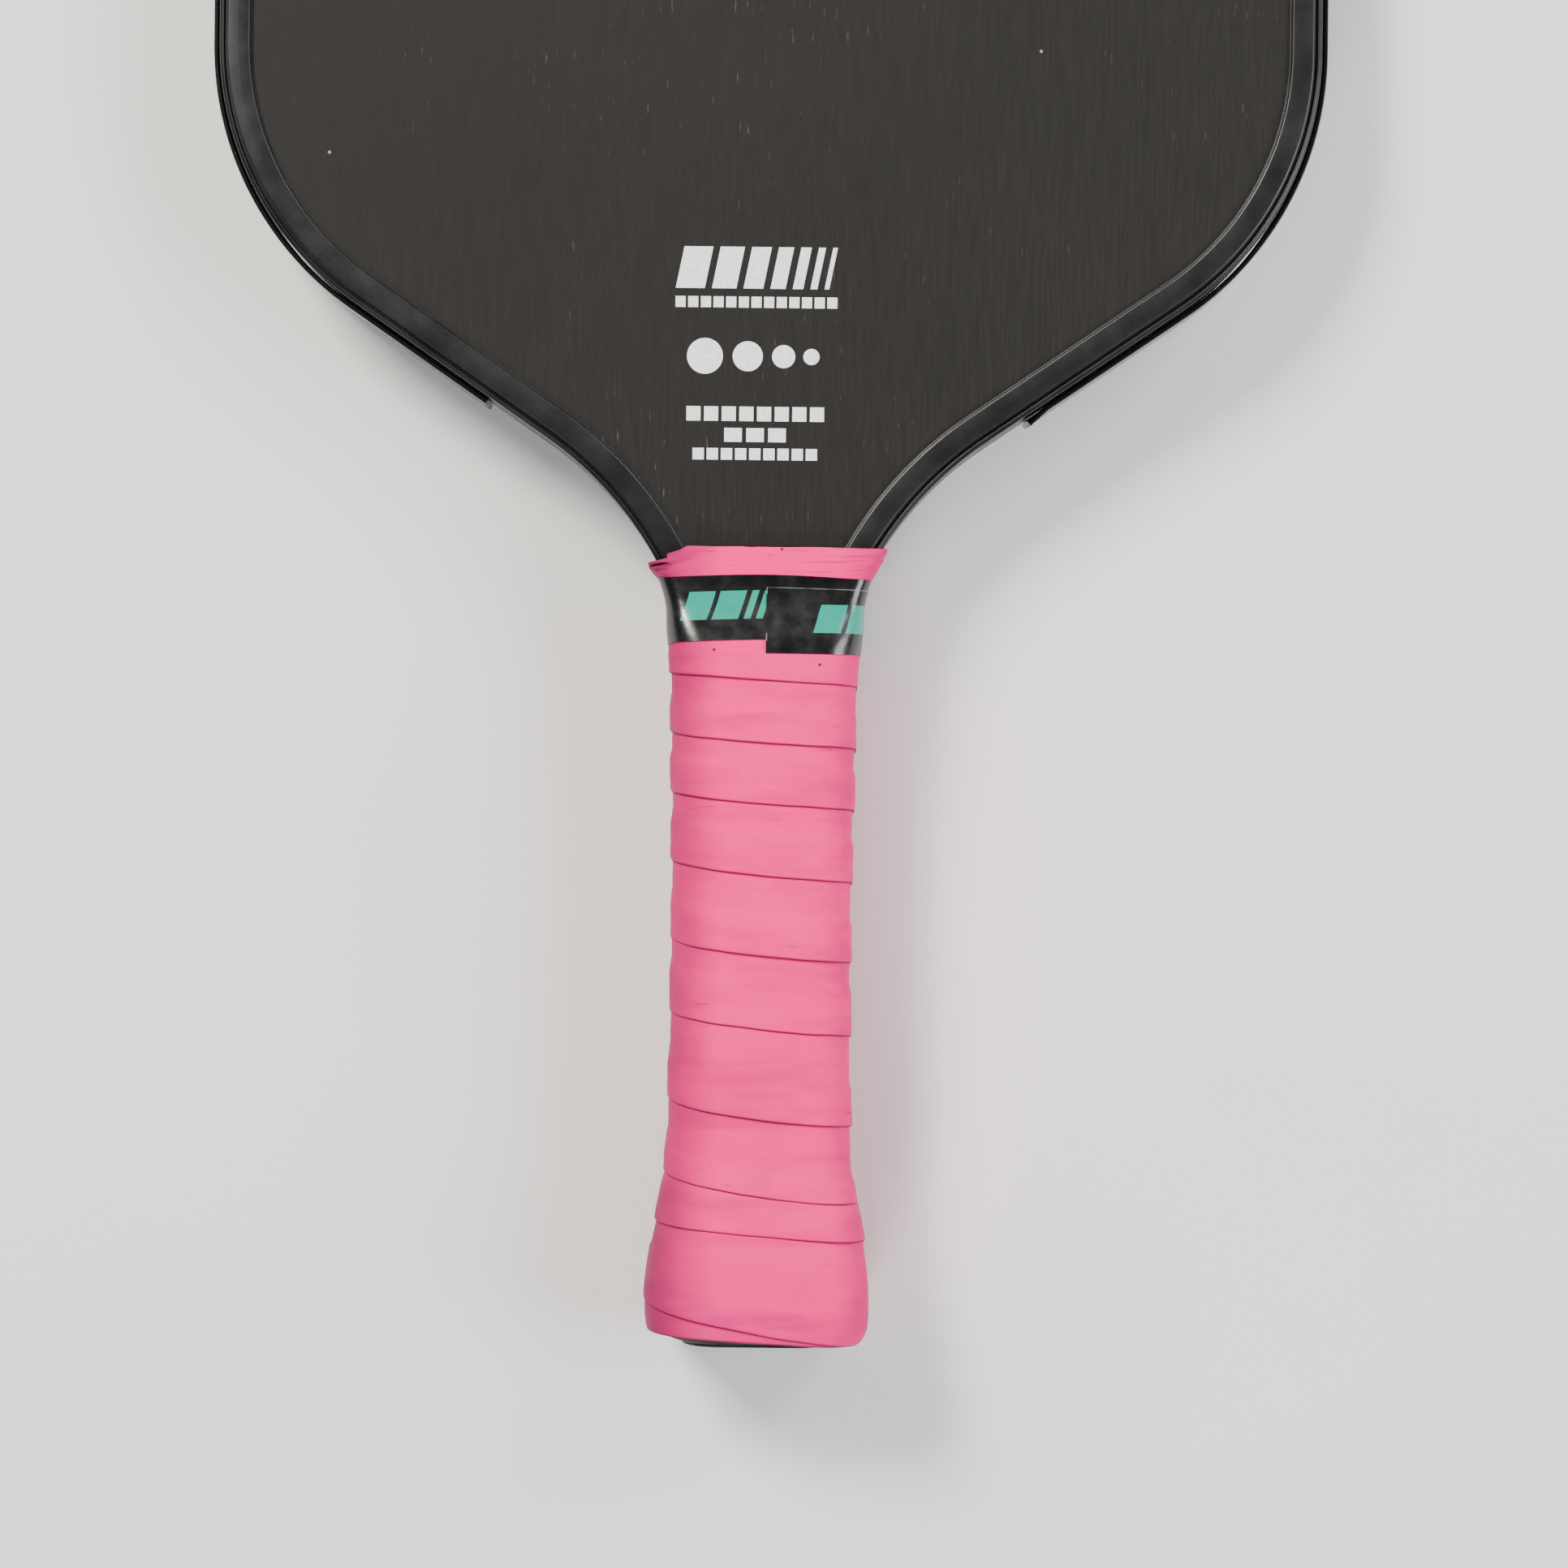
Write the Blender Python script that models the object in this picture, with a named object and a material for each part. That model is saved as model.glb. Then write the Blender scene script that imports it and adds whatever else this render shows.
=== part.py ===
"""Pickleball paddle: foam core, carbon faces, edge guard, two-shell handle and wrapped grip.

Frame: +Y runs from the butt to the head, +Z out of the front face, +X to the right.
The origin is the centre of the butt's end face, on the paddle's middle plane.
All sizes here are in millimetres; build_mesh turns them into metres.
"""
import math

import bmesh
import bpy

MM = 0.001
GAP = 0.3                  # clearance between two pieces that touch

# Overall sizes
PADDLE_LENGTH = 419.1      # butt face to the top of the edge guard
PADDLE_WIDTH = 190.5       # across the edge guard
BODY_THICKNESS = 16.0      # over both carbon skins
HANDLE_LENGTH = 138.2      # butt face to the top edge of the overgrip

# Head outline, taken on the outer wall of the edge guard
SHOULDER_ANGLE = math.radians(34.5)   # shoulder line against the X axis
LOW_CORNER_RADIUS = 54.0
LOW_CORNER_RISE = 86.2     # top of the grip to the foot of the straight side
THROAT_RADIUS = 62.0
TOP_CORNER_RADIUS = 62.0
TOP_RADIUS = 230.0
FOOT_RADIUS = 40.0         # where the two shoulder lines of the core meet
ARC_STEP = math.radians(7.5)

# Panel: plies from the outside in
SKIN_THICKNESS = 0.4
PLY_THICKNESS = 0.3
RIM_WIDTH = 7.0
RING_WIDTH = 8.0
TONGUE_WIDTH = 19.0
TONGUE_END = 3.4           # tongue and faces stop this far above the butt face

# Edge guard and the protective tape on it
GUARD_WALL = 1.2
LIP_WIDTH = 5.4
LIP_THICKNESS = 0.8
LIP_CHAMFER = 0.35
LIP_LEDGE = 1.9            # lip's flat stops this far in from the wall
LEDGE_DROP = 0.6
GUARD_START = 13.3         # guard's ends, below the top of the grip
EDGE_TAPE_THICKNESS = 0.9
EDGE_TAPE_WIDTH = 12.4
EDGE_TAPE_RIGHT = 6.0      # tape's ends, up the shoulder from the throat
EDGE_TAPE_LEFT = 9.0

# Handle form over the shells and the cap:
# height above the butt, cover beside the tongue, cover over the faces, corner radius
LOWER_FORM = (
    (0.0, 3.5, 2.0, 6.5),
    (1.0, 5.1, 3.4, 6.5),
    (2.4, 6.5, 4.5, 6.5),
    (4.5, 7.2, 5.1, 6.5),
    (7.5, 7.4, 5.2, 6.5),
    (15.0, 6.8, 4.6, 6.5),
    (20.0, 5.9, 3.9, 6.5),
    (25.0, 4.8, 3.2, 6.5),
    (31.0, 3.9, 2.8, 6.5),
    (45.0, 3.5, 2.6, 6.5),
    (65.0, 3.3, 2.5, 6.5),
)
# the same, with the height measured down from the top of the grip
UPPER_FORM = (
    (45.0, 3.5, 2.6, 6.5),
    (28.0, 3.8, 2.8, 6.5),
    (19.0, 4.0, 2.4, 4.5),
    (14.2, 4.8, 1.7, 2.5),
)
NECK_STEPS = 4
CORNER_STEPS = 4

# Handle shells and butt cap
SHELL_TOP = 14.8           # shells' top, below the top of the grip
SHELL_EDGE = 1.0           # least wall beside the faces, where the throat widens
CAP_FLOOR = 2.5
CAP_SKIRT = 14.0
CAP_WALL = 1.8
LABEL_INSET = 2.0
LABEL_THICKNESS = 0.4
STAPLE_HEIGHT = 9.5        # staple's middle above the butt face
STAPLE_WIDTH = 9.0
STAPLE_WIRE = 0.7
STAPLE_BREADTH = 1.0
STAPLE_LEG = 3.2

# Wraps
BASE_GRIP_START = 3.2
BASE_GRIP_TOP = 15.3       # below the top of the overgrip
BASE_GRIP_THICKNESS = 1.5
BASE_GRIP_SKIVED = 0.9     # thinned under the tape that holds it
SKIVE_LENGTH = 8.0
INNER_TAPE_START = 21.8    # below the top of the overgrip
INNER_TAPE_TOP = 15.8
TAPE_THICKNESS = 0.25
OVERGRIP_START = 1.0
OVERGRIP_THICKNESS = 0.7
FINISHING_TAPE_START = 18.6    # below the top of the overgrip
FINISHING_TAPE_TOP = 7.1

# Values worked out from the ones above
BODY_HALF = BODY_THICKNESS / 2
TONGUE_HALF = TONGUE_WIDTH / 2
PANEL_INSET = GUARD_WALL + GAP
CORE_HALF = BODY_HALF - SKIN_THICKNESS - PLY_THICKNESS - 2 * GAP
LIP_TOP = BODY_HALF + GAP + LIP_THICKNESS
LOW_CORNER = (PADDLE_WIDTH / 2 - LOW_CORNER_RADIUS, HANDLE_LENGTH + LOW_CORNER_RISE)
SHOULDER = (LOW_CORNER[0] + LOW_CORNER_RADIUS * math.sin(SHOULDER_ANGLE),
            LOW_CORNER[1] - LOW_CORNER_RADIUS * math.cos(SHOULDER_ANGLE))
SHOULDER_NORMAL = (math.sin(SHOULDER_ANGLE), -math.cos(SHOULDER_ANGLE))
THROAT_X = TONGUE_HALF + PANEL_INSET + THROAT_RADIUS
THROAT_Y = SHOULDER[1] + ((THROAT_X - SHOULDER[0]) * math.sin(SHOULDER_ANGLE)
                          - THROAT_RADIUS) / math.cos(SHOULDER_ANGLE)
SHOULDER_LENGTH = ((SHOULDER[0] - THROAT_X + THROAT_RADIUS * math.sin(SHOULDER_ANGLE))
                   / math.cos(SHOULDER_ANGLE))
RIM_END = SHOULDER_LENGTH / 2    # the rim wall ends midway down the shoulder
TOP_CENTRE_Y = PADDLE_LENGTH - TOP_RADIUS
TOP_CORNER_X = PADDLE_WIDTH / 2 - TOP_CORNER_RADIUS
TOP_CORNER_Y = TOP_CENTRE_Y + math.sqrt((TOP_RADIUS - TOP_CORNER_RADIUS) ** 2 - TOP_CORNER_X ** 2)
TOP_ANGLE = math.atan2(TOP_CORNER_Y - TOP_CENTRE_Y, TOP_CORNER_X)

# finish: colour, roughness, metallic
FINISHES = {
    "raw_carbon": ((0.055, 0.050, 0.043), 0.62, 0.0),
    "glass_ply": ((0.72, 0.74, 0.66), 0.50, 0.0),
    "epp_foam": ((0.80, 0.80, 0.78), 0.85, 0.0),
    "eva_foam": ((0.04, 0.04, 0.045), 0.80, 0.0),
    "dense_foam": ((0.62, 0.50, 0.32), 0.70, 0.0),
    "tpu_guard": ((0.018, 0.018, 0.020), 0.38, 0.0),
    "edge_tape": ((0.012, 0.012, 0.013), 0.30, 0.0),
    "handle_plastic": ((0.05, 0.05, 0.05), 0.50, 0.0),
    "cap_plastic": ((0.010, 0.010, 0.011), 0.42, 0.0),
    "label_vinyl": ((0.03, 0.03, 0.035), 0.35, 0.0),
    "steel_wire": ((0.55, 0.55, 0.56), 0.30, 1.0),
    "base_cushion": ((0.015, 0.015, 0.016), 0.70, 0.0),
    "cloth_tape": ((0.020, 0.020, 0.020), 0.45, 0.0),
    "pink_overgrip": ((0.90, 0.20, 0.33), 0.62, 0.0),
    "vinyl_tape": ((0.010, 0.010, 0.012), 0.16, 0.0),
}


# ---- outline ----

def arc(centre, radius, start, end, side=1):
    """Points on an arc as (x, y, nx, ny); side -1 turns the normal to the arc's centre."""
    steps = max(2, math.ceil(abs(end - start) / ARC_STEP))
    points = []
    for i in range(steps + 1):
        angle = start + (end - start) * i / steps
        c, s = math.cos(angle), math.sin(angle)
        points.append((centre[0] + radius * c, centre[1] + radius * s, side * c, side * s))
    return points


def throat_arc(start=math.pi):
    return arc((THROAT_X, THROAT_Y), THROAT_RADIUS, start, math.pi / 2 + SHOULDER_ANGLE, -1)


def head_arcs():
    """The right half of the head, from the shoulder line's top to the middle of the top edge."""
    return (arc(LOW_CORNER, LOW_CORNER_RADIUS, SHOULDER_ANGLE - math.pi / 2, 0.0)
            + arc((TOP_CORNER_X, TOP_CORNER_Y), TOP_CORNER_RADIUS, 0.0, TOP_ANGLE)
            + arc((0.0, TOP_CENTRE_Y), TOP_RADIUS, TOP_ANGLE, math.pi / 2)[1:])


def foot_arc():
    """Where the core's two shoulder lines meet: the right half, from the middle outwards."""
    height = SHOULDER[1] + (FOOT_RADIUS - SHOULDER[0] * SHOULDER_NORMAL[0]) / math.cos(SHOULDER_ANGLE)
    return arc((0.0, height), FOOT_RADIUS, -math.pi / 2, SHOULDER_ANGLE - math.pi / 2)


def shoulder_point(distance, start=SHOULDER):
    """A point on the shoulder line, this far down from its start."""
    return (start[0] - distance * math.cos(SHOULDER_ANGLE),
            start[1] - distance * math.sin(SHOULDER_ANGLE), *SHOULDER_NORMAL)


def mirrored(path):
    return [(-x, y, -nx, ny) for x, y, nx, ny in reversed(path)]


def inset(path, distance):
    return [(x - nx * distance, y - ny * distance) for x, y, nx, ny in path]


def over_the_head(right, left):
    """Join a right-hand start and a left-hand start over the head."""
    head = head_arcs()
    return right + head + mirrored(head)[1:] + mirrored(left)


def panel_half_width(height):
    """Half the width of the carbon faces in the handle and the throat."""
    if height < THROAT_Y:
        return TONGUE_HALF
    return THROAT_X - math.sqrt(THROAT_RADIUS ** 2 - (height - THROAT_Y) ** 2) - PANEL_INSET


# ---- meshes ----

def build_mesh(name, rings, finish, closed=False):
    """One solid from rings of equal length, capped at both ends, or joined end to end."""
    bm = bmesh.new()
    loops = [[bm.verts.new((x * MM, y * MM, z * MM)) for x, y, z in ring] for ring in rings]
    pairs = list(zip(loops, loops[1:]))
    if closed:
        pairs.append((loops[-1], loops[0]))
    else:
        bm.faces.new(loops[0])
        bm.faces.new(loops[-1])
    for near, far in pairs:
        for i in range(len(near)):
            j = (i + 1) % len(near)
            bm.faces.new((near[i], near[j], far[j], far[i]))
    bmesh.ops.recalc_face_normals(bm, faces=bm.faces)
    mesh = bpy.data.meshes.new(name)
    bm.to_mesh(mesh)
    bm.free()
    mesh.shade_smooth()
    mesh.set_sharp_from_angle(angle=math.radians(30))
    obj = bpy.data.objects.new(name, mesh)
    bpy.context.scene.collection.objects.link(obj)
    if finish:
        mesh.materials.append(material(name, finish))
        obj.parent = bpy.data.objects["paddle"]
    return obj


def material(name, finish):
    colour, roughness, metallic = FINISHES[finish]
    mat = bpy.data.materials.new(name)
    mat.use_nodes = True
    shader = mat.node_tree.nodes["Principled BSDF"]
    shader.inputs["Base Color"].default_value = (*colour, 1.0)
    shader.inputs["Roughness"].default_value = roughness
    shader.inputs["Metallic"].default_value = metallic
    return mat


def plate(name, outline, low, high, finish):
    """A flat piece of this outline between two heights of Z."""
    return build_mesh(name, [[(x, y, z) for x, y in outline] for z in (low, high)], finish)


def sweep(name, path, profile, finish, closed=False):
    """A profile of (offset outwards, z) points carried along a path."""
    rings = [[(x + nx * out, y + ny * out, z) for out, z in profile] for x, y, nx, ny in path]
    return build_mesh(name, rings, finish, closed)


def rounded_section(height, half_width, half_depth, radius):
    """A rounded rectangle across the handle at this height."""
    points = []
    for quarter, (sx, sz) in enumerate(((1, 1), (-1, 1), (-1, -1), (1, -1))):
        for i in range(CORNER_STEPS + 1):
            angle = math.pi / 2 * (quarter + i / CORNER_STEPS)
            points.append((sx * (half_width - radius) + radius * math.cos(angle), height,
                           sz * (half_depth - radius) + radius * math.sin(angle)))
    return points


def cut(obj, cutter):
    """Boolean difference; the cutter is only a guide and isn't part of the model."""
    cutter.hide_render = True
    cutter.display_type = "WIRE"
    modifier = obj.modifiers.new("cut", "BOOLEAN")
    modifier.operation = "DIFFERENCE"
    modifier.solver = "EXACT"
    modifier.object = cutter


# ---- handle form ----

def form_rows():
    """Rows of (height, half width, half depth, corner radius) over the bare handle."""
    upper = [(HANDLE_LENGTH - y, side, face, radius) for y, side, face, radius in UPPER_FORM]
    rows = []
    for height, side, face, radius in list(LOWER_FORM) + upper:
        half_width = max(TONGUE_HALF + side, panel_half_width(height) + GAP + SHELL_EDGE)
        rows.append((height, half_width, BODY_HALF + face, radius))
    shell_width = rows[-1][1]
    for i in range(NECK_STEPS + 1):
        height = HANDLE_LENGTH - GUARD_START * (1 - i / NECK_STEPS)
        half_width = max(shell_width, panel_half_width(height) + PANEL_INSET)
        rows.append((height, half_width, LIP_TOP, LIP_LEDGE))
    return rows


def form(height, offset=0.0):
    """The handle's section at a height, grown by an offset."""
    rows = form_rows()
    for low, high in zip(rows, rows[1:]):
        if height <= high[0]:
            share = (height - low[0]) / (high[0] - low[0])
            half_width, half_depth, radius = (p + (q - p) * share for p, q in zip(low[1:], high[1:]))
            return half_width + offset, half_depth + offset, radius + offset
    return rows[-1][1] + offset, rows[-1][2] + offset, rows[-1][3] + offset


def heights(low, high, extra=()):
    """The form's own heights between two ends, with any extra ones."""
    inner = {row[0] for row in form_rows()} | set(extra)
    return [low] + sorted(y for y in inner if low + GAP < y < high - GAP) + [high]


def sleeve(name, ys, inner, outer, finish):
    """A tube over the handle form; inner and outer give the offset at a height."""
    outside = [rounded_section(y, *form(y, outer(y))) for y in ys]
    inside = [rounded_section(y, *form(y, inner(y))) for y in ys]
    return build_mesh(name, outside + inside[::-1], finish, closed=True)


def ramp(height, rows):
    """Straight-line interpolation in rows of (height, value)."""
    for (y0, v0), (y1, v1) in zip(rows, rows[1:]):
        if height <= y1:
            return v0 + (v1 - v0) * max(0.0, (height - y0) / (y1 - y0))
    return rows[-1][1]


# ---- panel ----

def panel_outline():
    """The carbon faces' outline: head, throat and tongue."""
    right = [(TONGUE_HALF + PANEL_INSET, TONGUE_END, 1.0, 0.0)] + throat_arc()
    return inset(over_the_head(right, right), PANEL_INSET)


def core_path():
    """The closed outline that the foam core, its ring and the rim share."""
    foot = foot_arc()
    head = head_arcs()
    return foot + head + mirrored(head)[1:] + mirrored(foot)[:-1]


def make_faces():
    outline = panel_outline()
    ply_top = BODY_HALF - SKIN_THICKNESS - GAP
    for name, side in (("front", 1), ("back", -1)):
        plate(name + "_carbon_skin", outline, side * (BODY_HALF - SKIN_THICKNESS), side * BODY_HALF,
              "raw_carbon")
        plate(name + "_glass_ply", outline, side * (ply_top - PLY_THICKNESS), side * ply_top, "glass_ply")


def make_core():
    rim_inside = PANEL_INSET + RIM_WIDTH
    ring_outside = rim_inside + GAP
    ring_inside = ring_outside + RING_WIDTH
    plate("foam_core", inset(core_path(), ring_inside + GAP), -CORE_HALF, CORE_HALF, "epp_foam")
    sweep("core_ring", core_path(), band(-ring_inside, -ring_outside, CORE_HALF), "eva_foam", closed=True)
    start = [shoulder_point(RIM_END)]
    sweep("rim_wall", over_the_head(start, start), band(-rim_inside, -PANEL_INSET, CORE_HALF), "dense_foam")


def band(inside, outside, half_height):
    """A rectangular profile for sweep."""
    return [(inside, -half_height), (outside, -half_height), (outside, half_height), (inside, half_height)]


def make_tongue():
    """Fills the handle and the throat, up to the rim's ends and the foot of the core ring."""
    shoulder_end = [shoulder_point(RIM_END + GAP)]
    right = [(TONGUE_HALF + PANEL_INSET, TONGUE_END, 1.0, 0.0)] + throat_arc() + shoulder_end
    outer = inset(right, PANEL_INSET)
    inner = inset(shoulder_end + foot_arc()[::-1], PANEL_INSET + RIM_WIDTH)
    half = outer + inner
    outline = half + [(-x, y) for x, y in reversed(half[:-1])]
    plate("handle_tongue", outline, -CORE_HALF, CORE_HALF, "dense_foam")


# ---- edge ----

def guard_profile():
    """Half of the U-channel from the wall's middle to the lip, then its mirror image."""
    ledge = LIP_TOP - LEDGE_DROP
    inside = BODY_HALF + GAP
    outer = [(0.0, BODY_HALF - 1.0), (-0.3, ledge - 0.3), (-0.8, ledge), (0.4 - LIP_LEDGE, ledge),
             (-LIP_LEDGE, LIP_TOP), (LIP_CHAMFER - LIP_WIDTH, LIP_TOP),
             (-LIP_WIDTH, LIP_TOP - LIP_CHAMFER), (-LIP_WIDTH, inside), (-GUARD_WALL, inside)]
    return outer + [(out, -z) for out, z in reversed(outer)]


def make_guard():
    low = HANDLE_LENGTH - GUARD_START
    start = throat_arc(math.pi - math.asin((low - THROAT_Y) / THROAT_RADIUS))
    sweep("edge_guard", over_the_head(start, start), guard_profile(), "tpu_guard")


def make_edge_tape():
    throat_end = throat_arc()[-1][:2]
    right, left = ([shoulder_point(-up, throat_end)] for up in (EDGE_TAPE_RIGHT, EDGE_TAPE_LEFT))
    profile = band(GAP, GAP + EDGE_TAPE_THICKNESS, EDGE_TAPE_WIDTH / 2)
    sweep("edge_tape", over_the_head(right, left), profile, "edge_tape")


# ---- handle ----

def shell_outside(height):
    """The shells' outside: the handle form, with a straight seat for the cap's skirt."""
    if height <= CAP_SKIRT + GAP:
        return rounded_section(height, *form(CAP_SKIRT, -CAP_WALL - GAP))
    return rounded_section(height, *form(height))


def shell_ring(height):
    """Half of the outside, then the slot round the tongue and the faces on it."""
    upper = shell_outside(height)[:2 * (CORNER_STEPS + 1)]
    slot = panel_half_width(height) + GAP
    seam = GAP / 2
    roof = BODY_HALF + GAP
    return ([(upper[0][0], height, seam)] + upper + [(upper[-1][0], height, seam)]
            + [(x, height, z) for x, z in ((-slot, seam), (-slot, roof), (slot, roof), (slot, seam))])


def make_shells():
    """Two C-shaped halves that close round the tongue."""
    step = CAP_SKIRT + GAP
    ys = [CAP_FLOOR + GAP, step] + heights(step + GAP, HANDLE_LENGTH - SHELL_TOP)
    rings = [shell_ring(y) for y in ys]
    front = build_mesh("front_handle_shell", rings, "handle_plastic")
    back = build_mesh("back_handle_shell", [[(x, y, -z) for x, y, z in ring] for ring in rings],
                      "handle_plastic")
    return front, back


def make_cap():
    """A cup over the shells' ends, with a shallow recess for its label."""
    recess = LABEL_THICKNESS + GAP
    label = [size - LABEL_INSET for size in form(0.0)]
    ys = [0.0] + [y for y in heights(0.0, CAP_SKIRT) if y > 0.0]
    rings = [rounded_section(recess, *label), rounded_section(0.0, *label)]
    rings += [rounded_section(y, *form(y)) for y in ys]
    bore = form(CAP_SKIRT, -CAP_WALL)
    rings += [rounded_section(CAP_SKIRT, *bore), rounded_section(CAP_FLOOR, *bore)]
    cap = build_mesh("butt_cap", rings, "cap_plastic")
    sticker = [size - GAP for size in label]
    build_mesh("butt_label", [rounded_section(y, *sticker) for y in (0.0, LABEL_THICKNESS)], "label_vinyl")
    return cap


def staple_rings(top, side, grow, rise):
    """A staple's outline, as two rings apart along Y; grow widens it into the slot it sits in."""
    half = STAPLE_WIDTH / 2 + grow
    inner = STAPLE_WIDTH / 2 - STAPLE_WIRE - grow
    crown = top - STAPLE_WIRE - grow
    tip = top - STAPLE_WIRE - STAPLE_LEG - grow
    outline = [(half, top + rise), (half, tip), (inner, tip), (inner, crown),
               (-inner, crown), (-inner, tip), (-half, tip), (-half, top + rise)]
    breadth = STAPLE_BREADTH / 2 + grow
    return [[(x, STAPLE_HEIGHT + y, side * z) for x, z in outline] for y in (-breadth, breadth)]


def make_staples(cap, front, back):
    """One staple on each face holds the cap to its shell."""
    top = form(STAPLE_HEIGHT + STAPLE_BREADTH)[1]
    for name, side, shell in (("front", 1, front), ("back", -1, back)):
        build_mesh("cap_staple_" + name, staple_rings(top, side, 0.0, 0.0), "steel_wire")
        slot = build_mesh("staple_slot_" + name, staple_rings(top, side, GAP, 1.0), None)
        cut(cap, slot)
        cut(shell, slot)


# ---- wraps ----

def make_wraps():
    base_top = HANDLE_LENGTH - BASE_GRIP_TOP
    skive = base_top - SKIVE_LENGTH
    seated = HANDLE_LENGTH - FINISHING_TAPE_TOP    # above here the overgrip lies on the guard

    def base_outer(y):
        thickness = ((skive, BASE_GRIP_THICKNESS), (skive + GAP * 2, BASE_GRIP_SKIVED))
        return GAP + ramp(y, thickness)

    def over_inner(y):
        raised = BASE_GRIP_THICKNESS + 2 * GAP
        start = BASE_GRIP_START - GAP
        return ramp(y, ((start - 2 * GAP, GAP), (start, raised), (base_top + GAP, raised),
                        (seated, GAP)))

    sleeve("base_grip", heights(BASE_GRIP_START, base_top, (skive, skive + GAP * 2)),
           lambda y: GAP, base_outer, "base_cushion")
    tape_low = HANDLE_LENGTH - INNER_TAPE_START
    tape_high = HANDLE_LENGTH - INNER_TAPE_TOP
    tape_inner = BASE_GRIP_SKIVED + 2 * GAP
    sleeve("base_grip_tape", heights(tape_low, tape_high), lambda y: tape_inner,
           lambda y: tape_inner + TAPE_THICKNESS, "cloth_tape")
    bends = (BASE_GRIP_START - 3 * GAP, BASE_GRIP_START - GAP, base_top + GAP, seated)
    sleeve("overgrip", heights(OVERGRIP_START, HANDLE_LENGTH, bends), over_inner,
           lambda y: over_inner(y) + OVERGRIP_THICKNESS, "pink_overgrip")
    low = HANDLE_LENGTH - FINISHING_TAPE_START
    high = HANDLE_LENGTH - FINISHING_TAPE_TOP
    sleeve("finishing_tape", heights(low, high, bends), lambda y: over_inner(y) + OVERGRIP_THICKNESS + GAP,
           lambda y: over_inner(y) + OVERGRIP_THICKNESS + GAP + TAPE_THICKNESS, "vinyl_tape")


def clear_scene():
    for obj in list(bpy.data.objects):
        bpy.data.objects.remove(obj, do_unlink=True)


def main():
    clear_scene()
    root = bpy.data.objects.new("paddle", None)
    bpy.context.scene.collection.objects.link(root)
    make_faces()
    make_core()
    make_tongue()
    make_guard()
    make_edge_tape()
    front, back = make_shells()
    cap = make_cap()
    make_staples(cap, front, back)
    make_wraps()


main()
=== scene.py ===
import math

import bmesh
import bpy
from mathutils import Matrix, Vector, noise


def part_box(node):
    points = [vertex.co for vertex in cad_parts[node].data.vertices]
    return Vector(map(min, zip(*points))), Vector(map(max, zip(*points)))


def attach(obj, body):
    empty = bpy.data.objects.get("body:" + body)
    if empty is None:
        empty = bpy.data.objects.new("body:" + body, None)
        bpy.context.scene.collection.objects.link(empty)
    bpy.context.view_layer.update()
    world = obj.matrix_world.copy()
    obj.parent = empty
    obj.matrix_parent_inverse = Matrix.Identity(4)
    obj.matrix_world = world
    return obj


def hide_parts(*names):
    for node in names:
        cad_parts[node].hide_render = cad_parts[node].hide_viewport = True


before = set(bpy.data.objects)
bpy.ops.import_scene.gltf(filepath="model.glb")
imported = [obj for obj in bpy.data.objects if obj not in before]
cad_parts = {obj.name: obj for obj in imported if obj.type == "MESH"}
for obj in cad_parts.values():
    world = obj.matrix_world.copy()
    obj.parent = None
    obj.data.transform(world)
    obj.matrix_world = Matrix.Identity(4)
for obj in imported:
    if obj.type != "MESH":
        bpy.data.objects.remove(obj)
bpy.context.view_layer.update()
print("frame loaded:", len(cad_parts), "nodes")

mm = 0.001


# sRGB hex to the linear colour that a shader takes
def linearColour(code):
    parts = [int(code[i:i + 2], 16) / 255 for i in (1, 3, 5)]
    return [p / 12.92 if p <= 0.04045 else ((p + 0.055) / 1.055) ** 2.4 for p in parts] + [1.0]


# adds one node; an input that is a socket is linked, anything else is set as the value
def addNode(tree, kind, inputs, **settings):
    node = tree.nodes.new("ShaderNode" + kind)
    for name, value in settings.items():
        setattr(node, name, value)
    for name, value in inputs.items():
        if isinstance(value, bpy.types.NodeSocket):
            tree.links.new(value, node.inputs[name])
        else:
            node.inputs[name].default_value = value
    return node.outputs


# a Principled material and the piece's own coordinates in it, in millimetres
def newMaterial(name, sockets):
    mat = bpy.data.materials.new(name)
    mat.use_nodes = True
    tree = mat.node_tree
    for socket, value in sockets.items():
        tree.nodes["Principled BSDF"].inputs[socket].default_value = value
    place = addNode(tree, "TexCoord", {})["Object"]
    return mat, addNode(tree, "VectorMath", {0: place, "Scale": 1 / mm}, operation="SCALE")[0]


# links finished patterns to the shader; a bump is (height, millimetres, strength)
def plug(mat, colour, roughness=None, bump=None):
    tree = mat.node_tree
    shader = tree.nodes["Principled BSDF"]
    tree.links.new(colour, shader.inputs["Base Color"])
    if roughness:
        tree.links.new(roughness, shader.inputs["Roughness"])
    if bump:
        height, depth, strength = bump
        normal = addNode(tree, "Bump", {
            "Height": height, "Distance": depth * mm, "Strength": strength})["Normal"]
        tree.links.new(normal, shader.inputs["Normal"])
    return mat


# noise with features of this size in millimetres, drawn out where the squeeze is under 1,
# and cut between two edges to give values between two levels
def pattern(place, size, squeeze=(1.0, 1.0, 1.0), detail=3.0, roughness=0.5,
            edges=(0.0, 1.0), levels=(0.0, 1.0)):
    tree = place.id_data
    squeezed = addNode(tree, "VectorMath", {0: place, 1: squeeze}, operation="MULTIPLY")[0]
    noisy = addNode(tree, "TexNoise", {
        "Vector": squeezed, "Scale": 1 / size, "Detail": detail, "Roughness": roughness})["Fac"]
    return addNode(tree, "MapRange", {
        "Value": noisy, "From Min": edges[0], "From Max": edges[1], "To Min": levels[0],
        "To Max": levels[1]})[0]


# where all of the masks are 1
def overlap(whole, *masks):
    for mask in masks:
        whole = addNode(whole.id_data, "Math", {0: whole, 1: mask}, operation="MULTIPLY")[0]
    return whole


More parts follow.
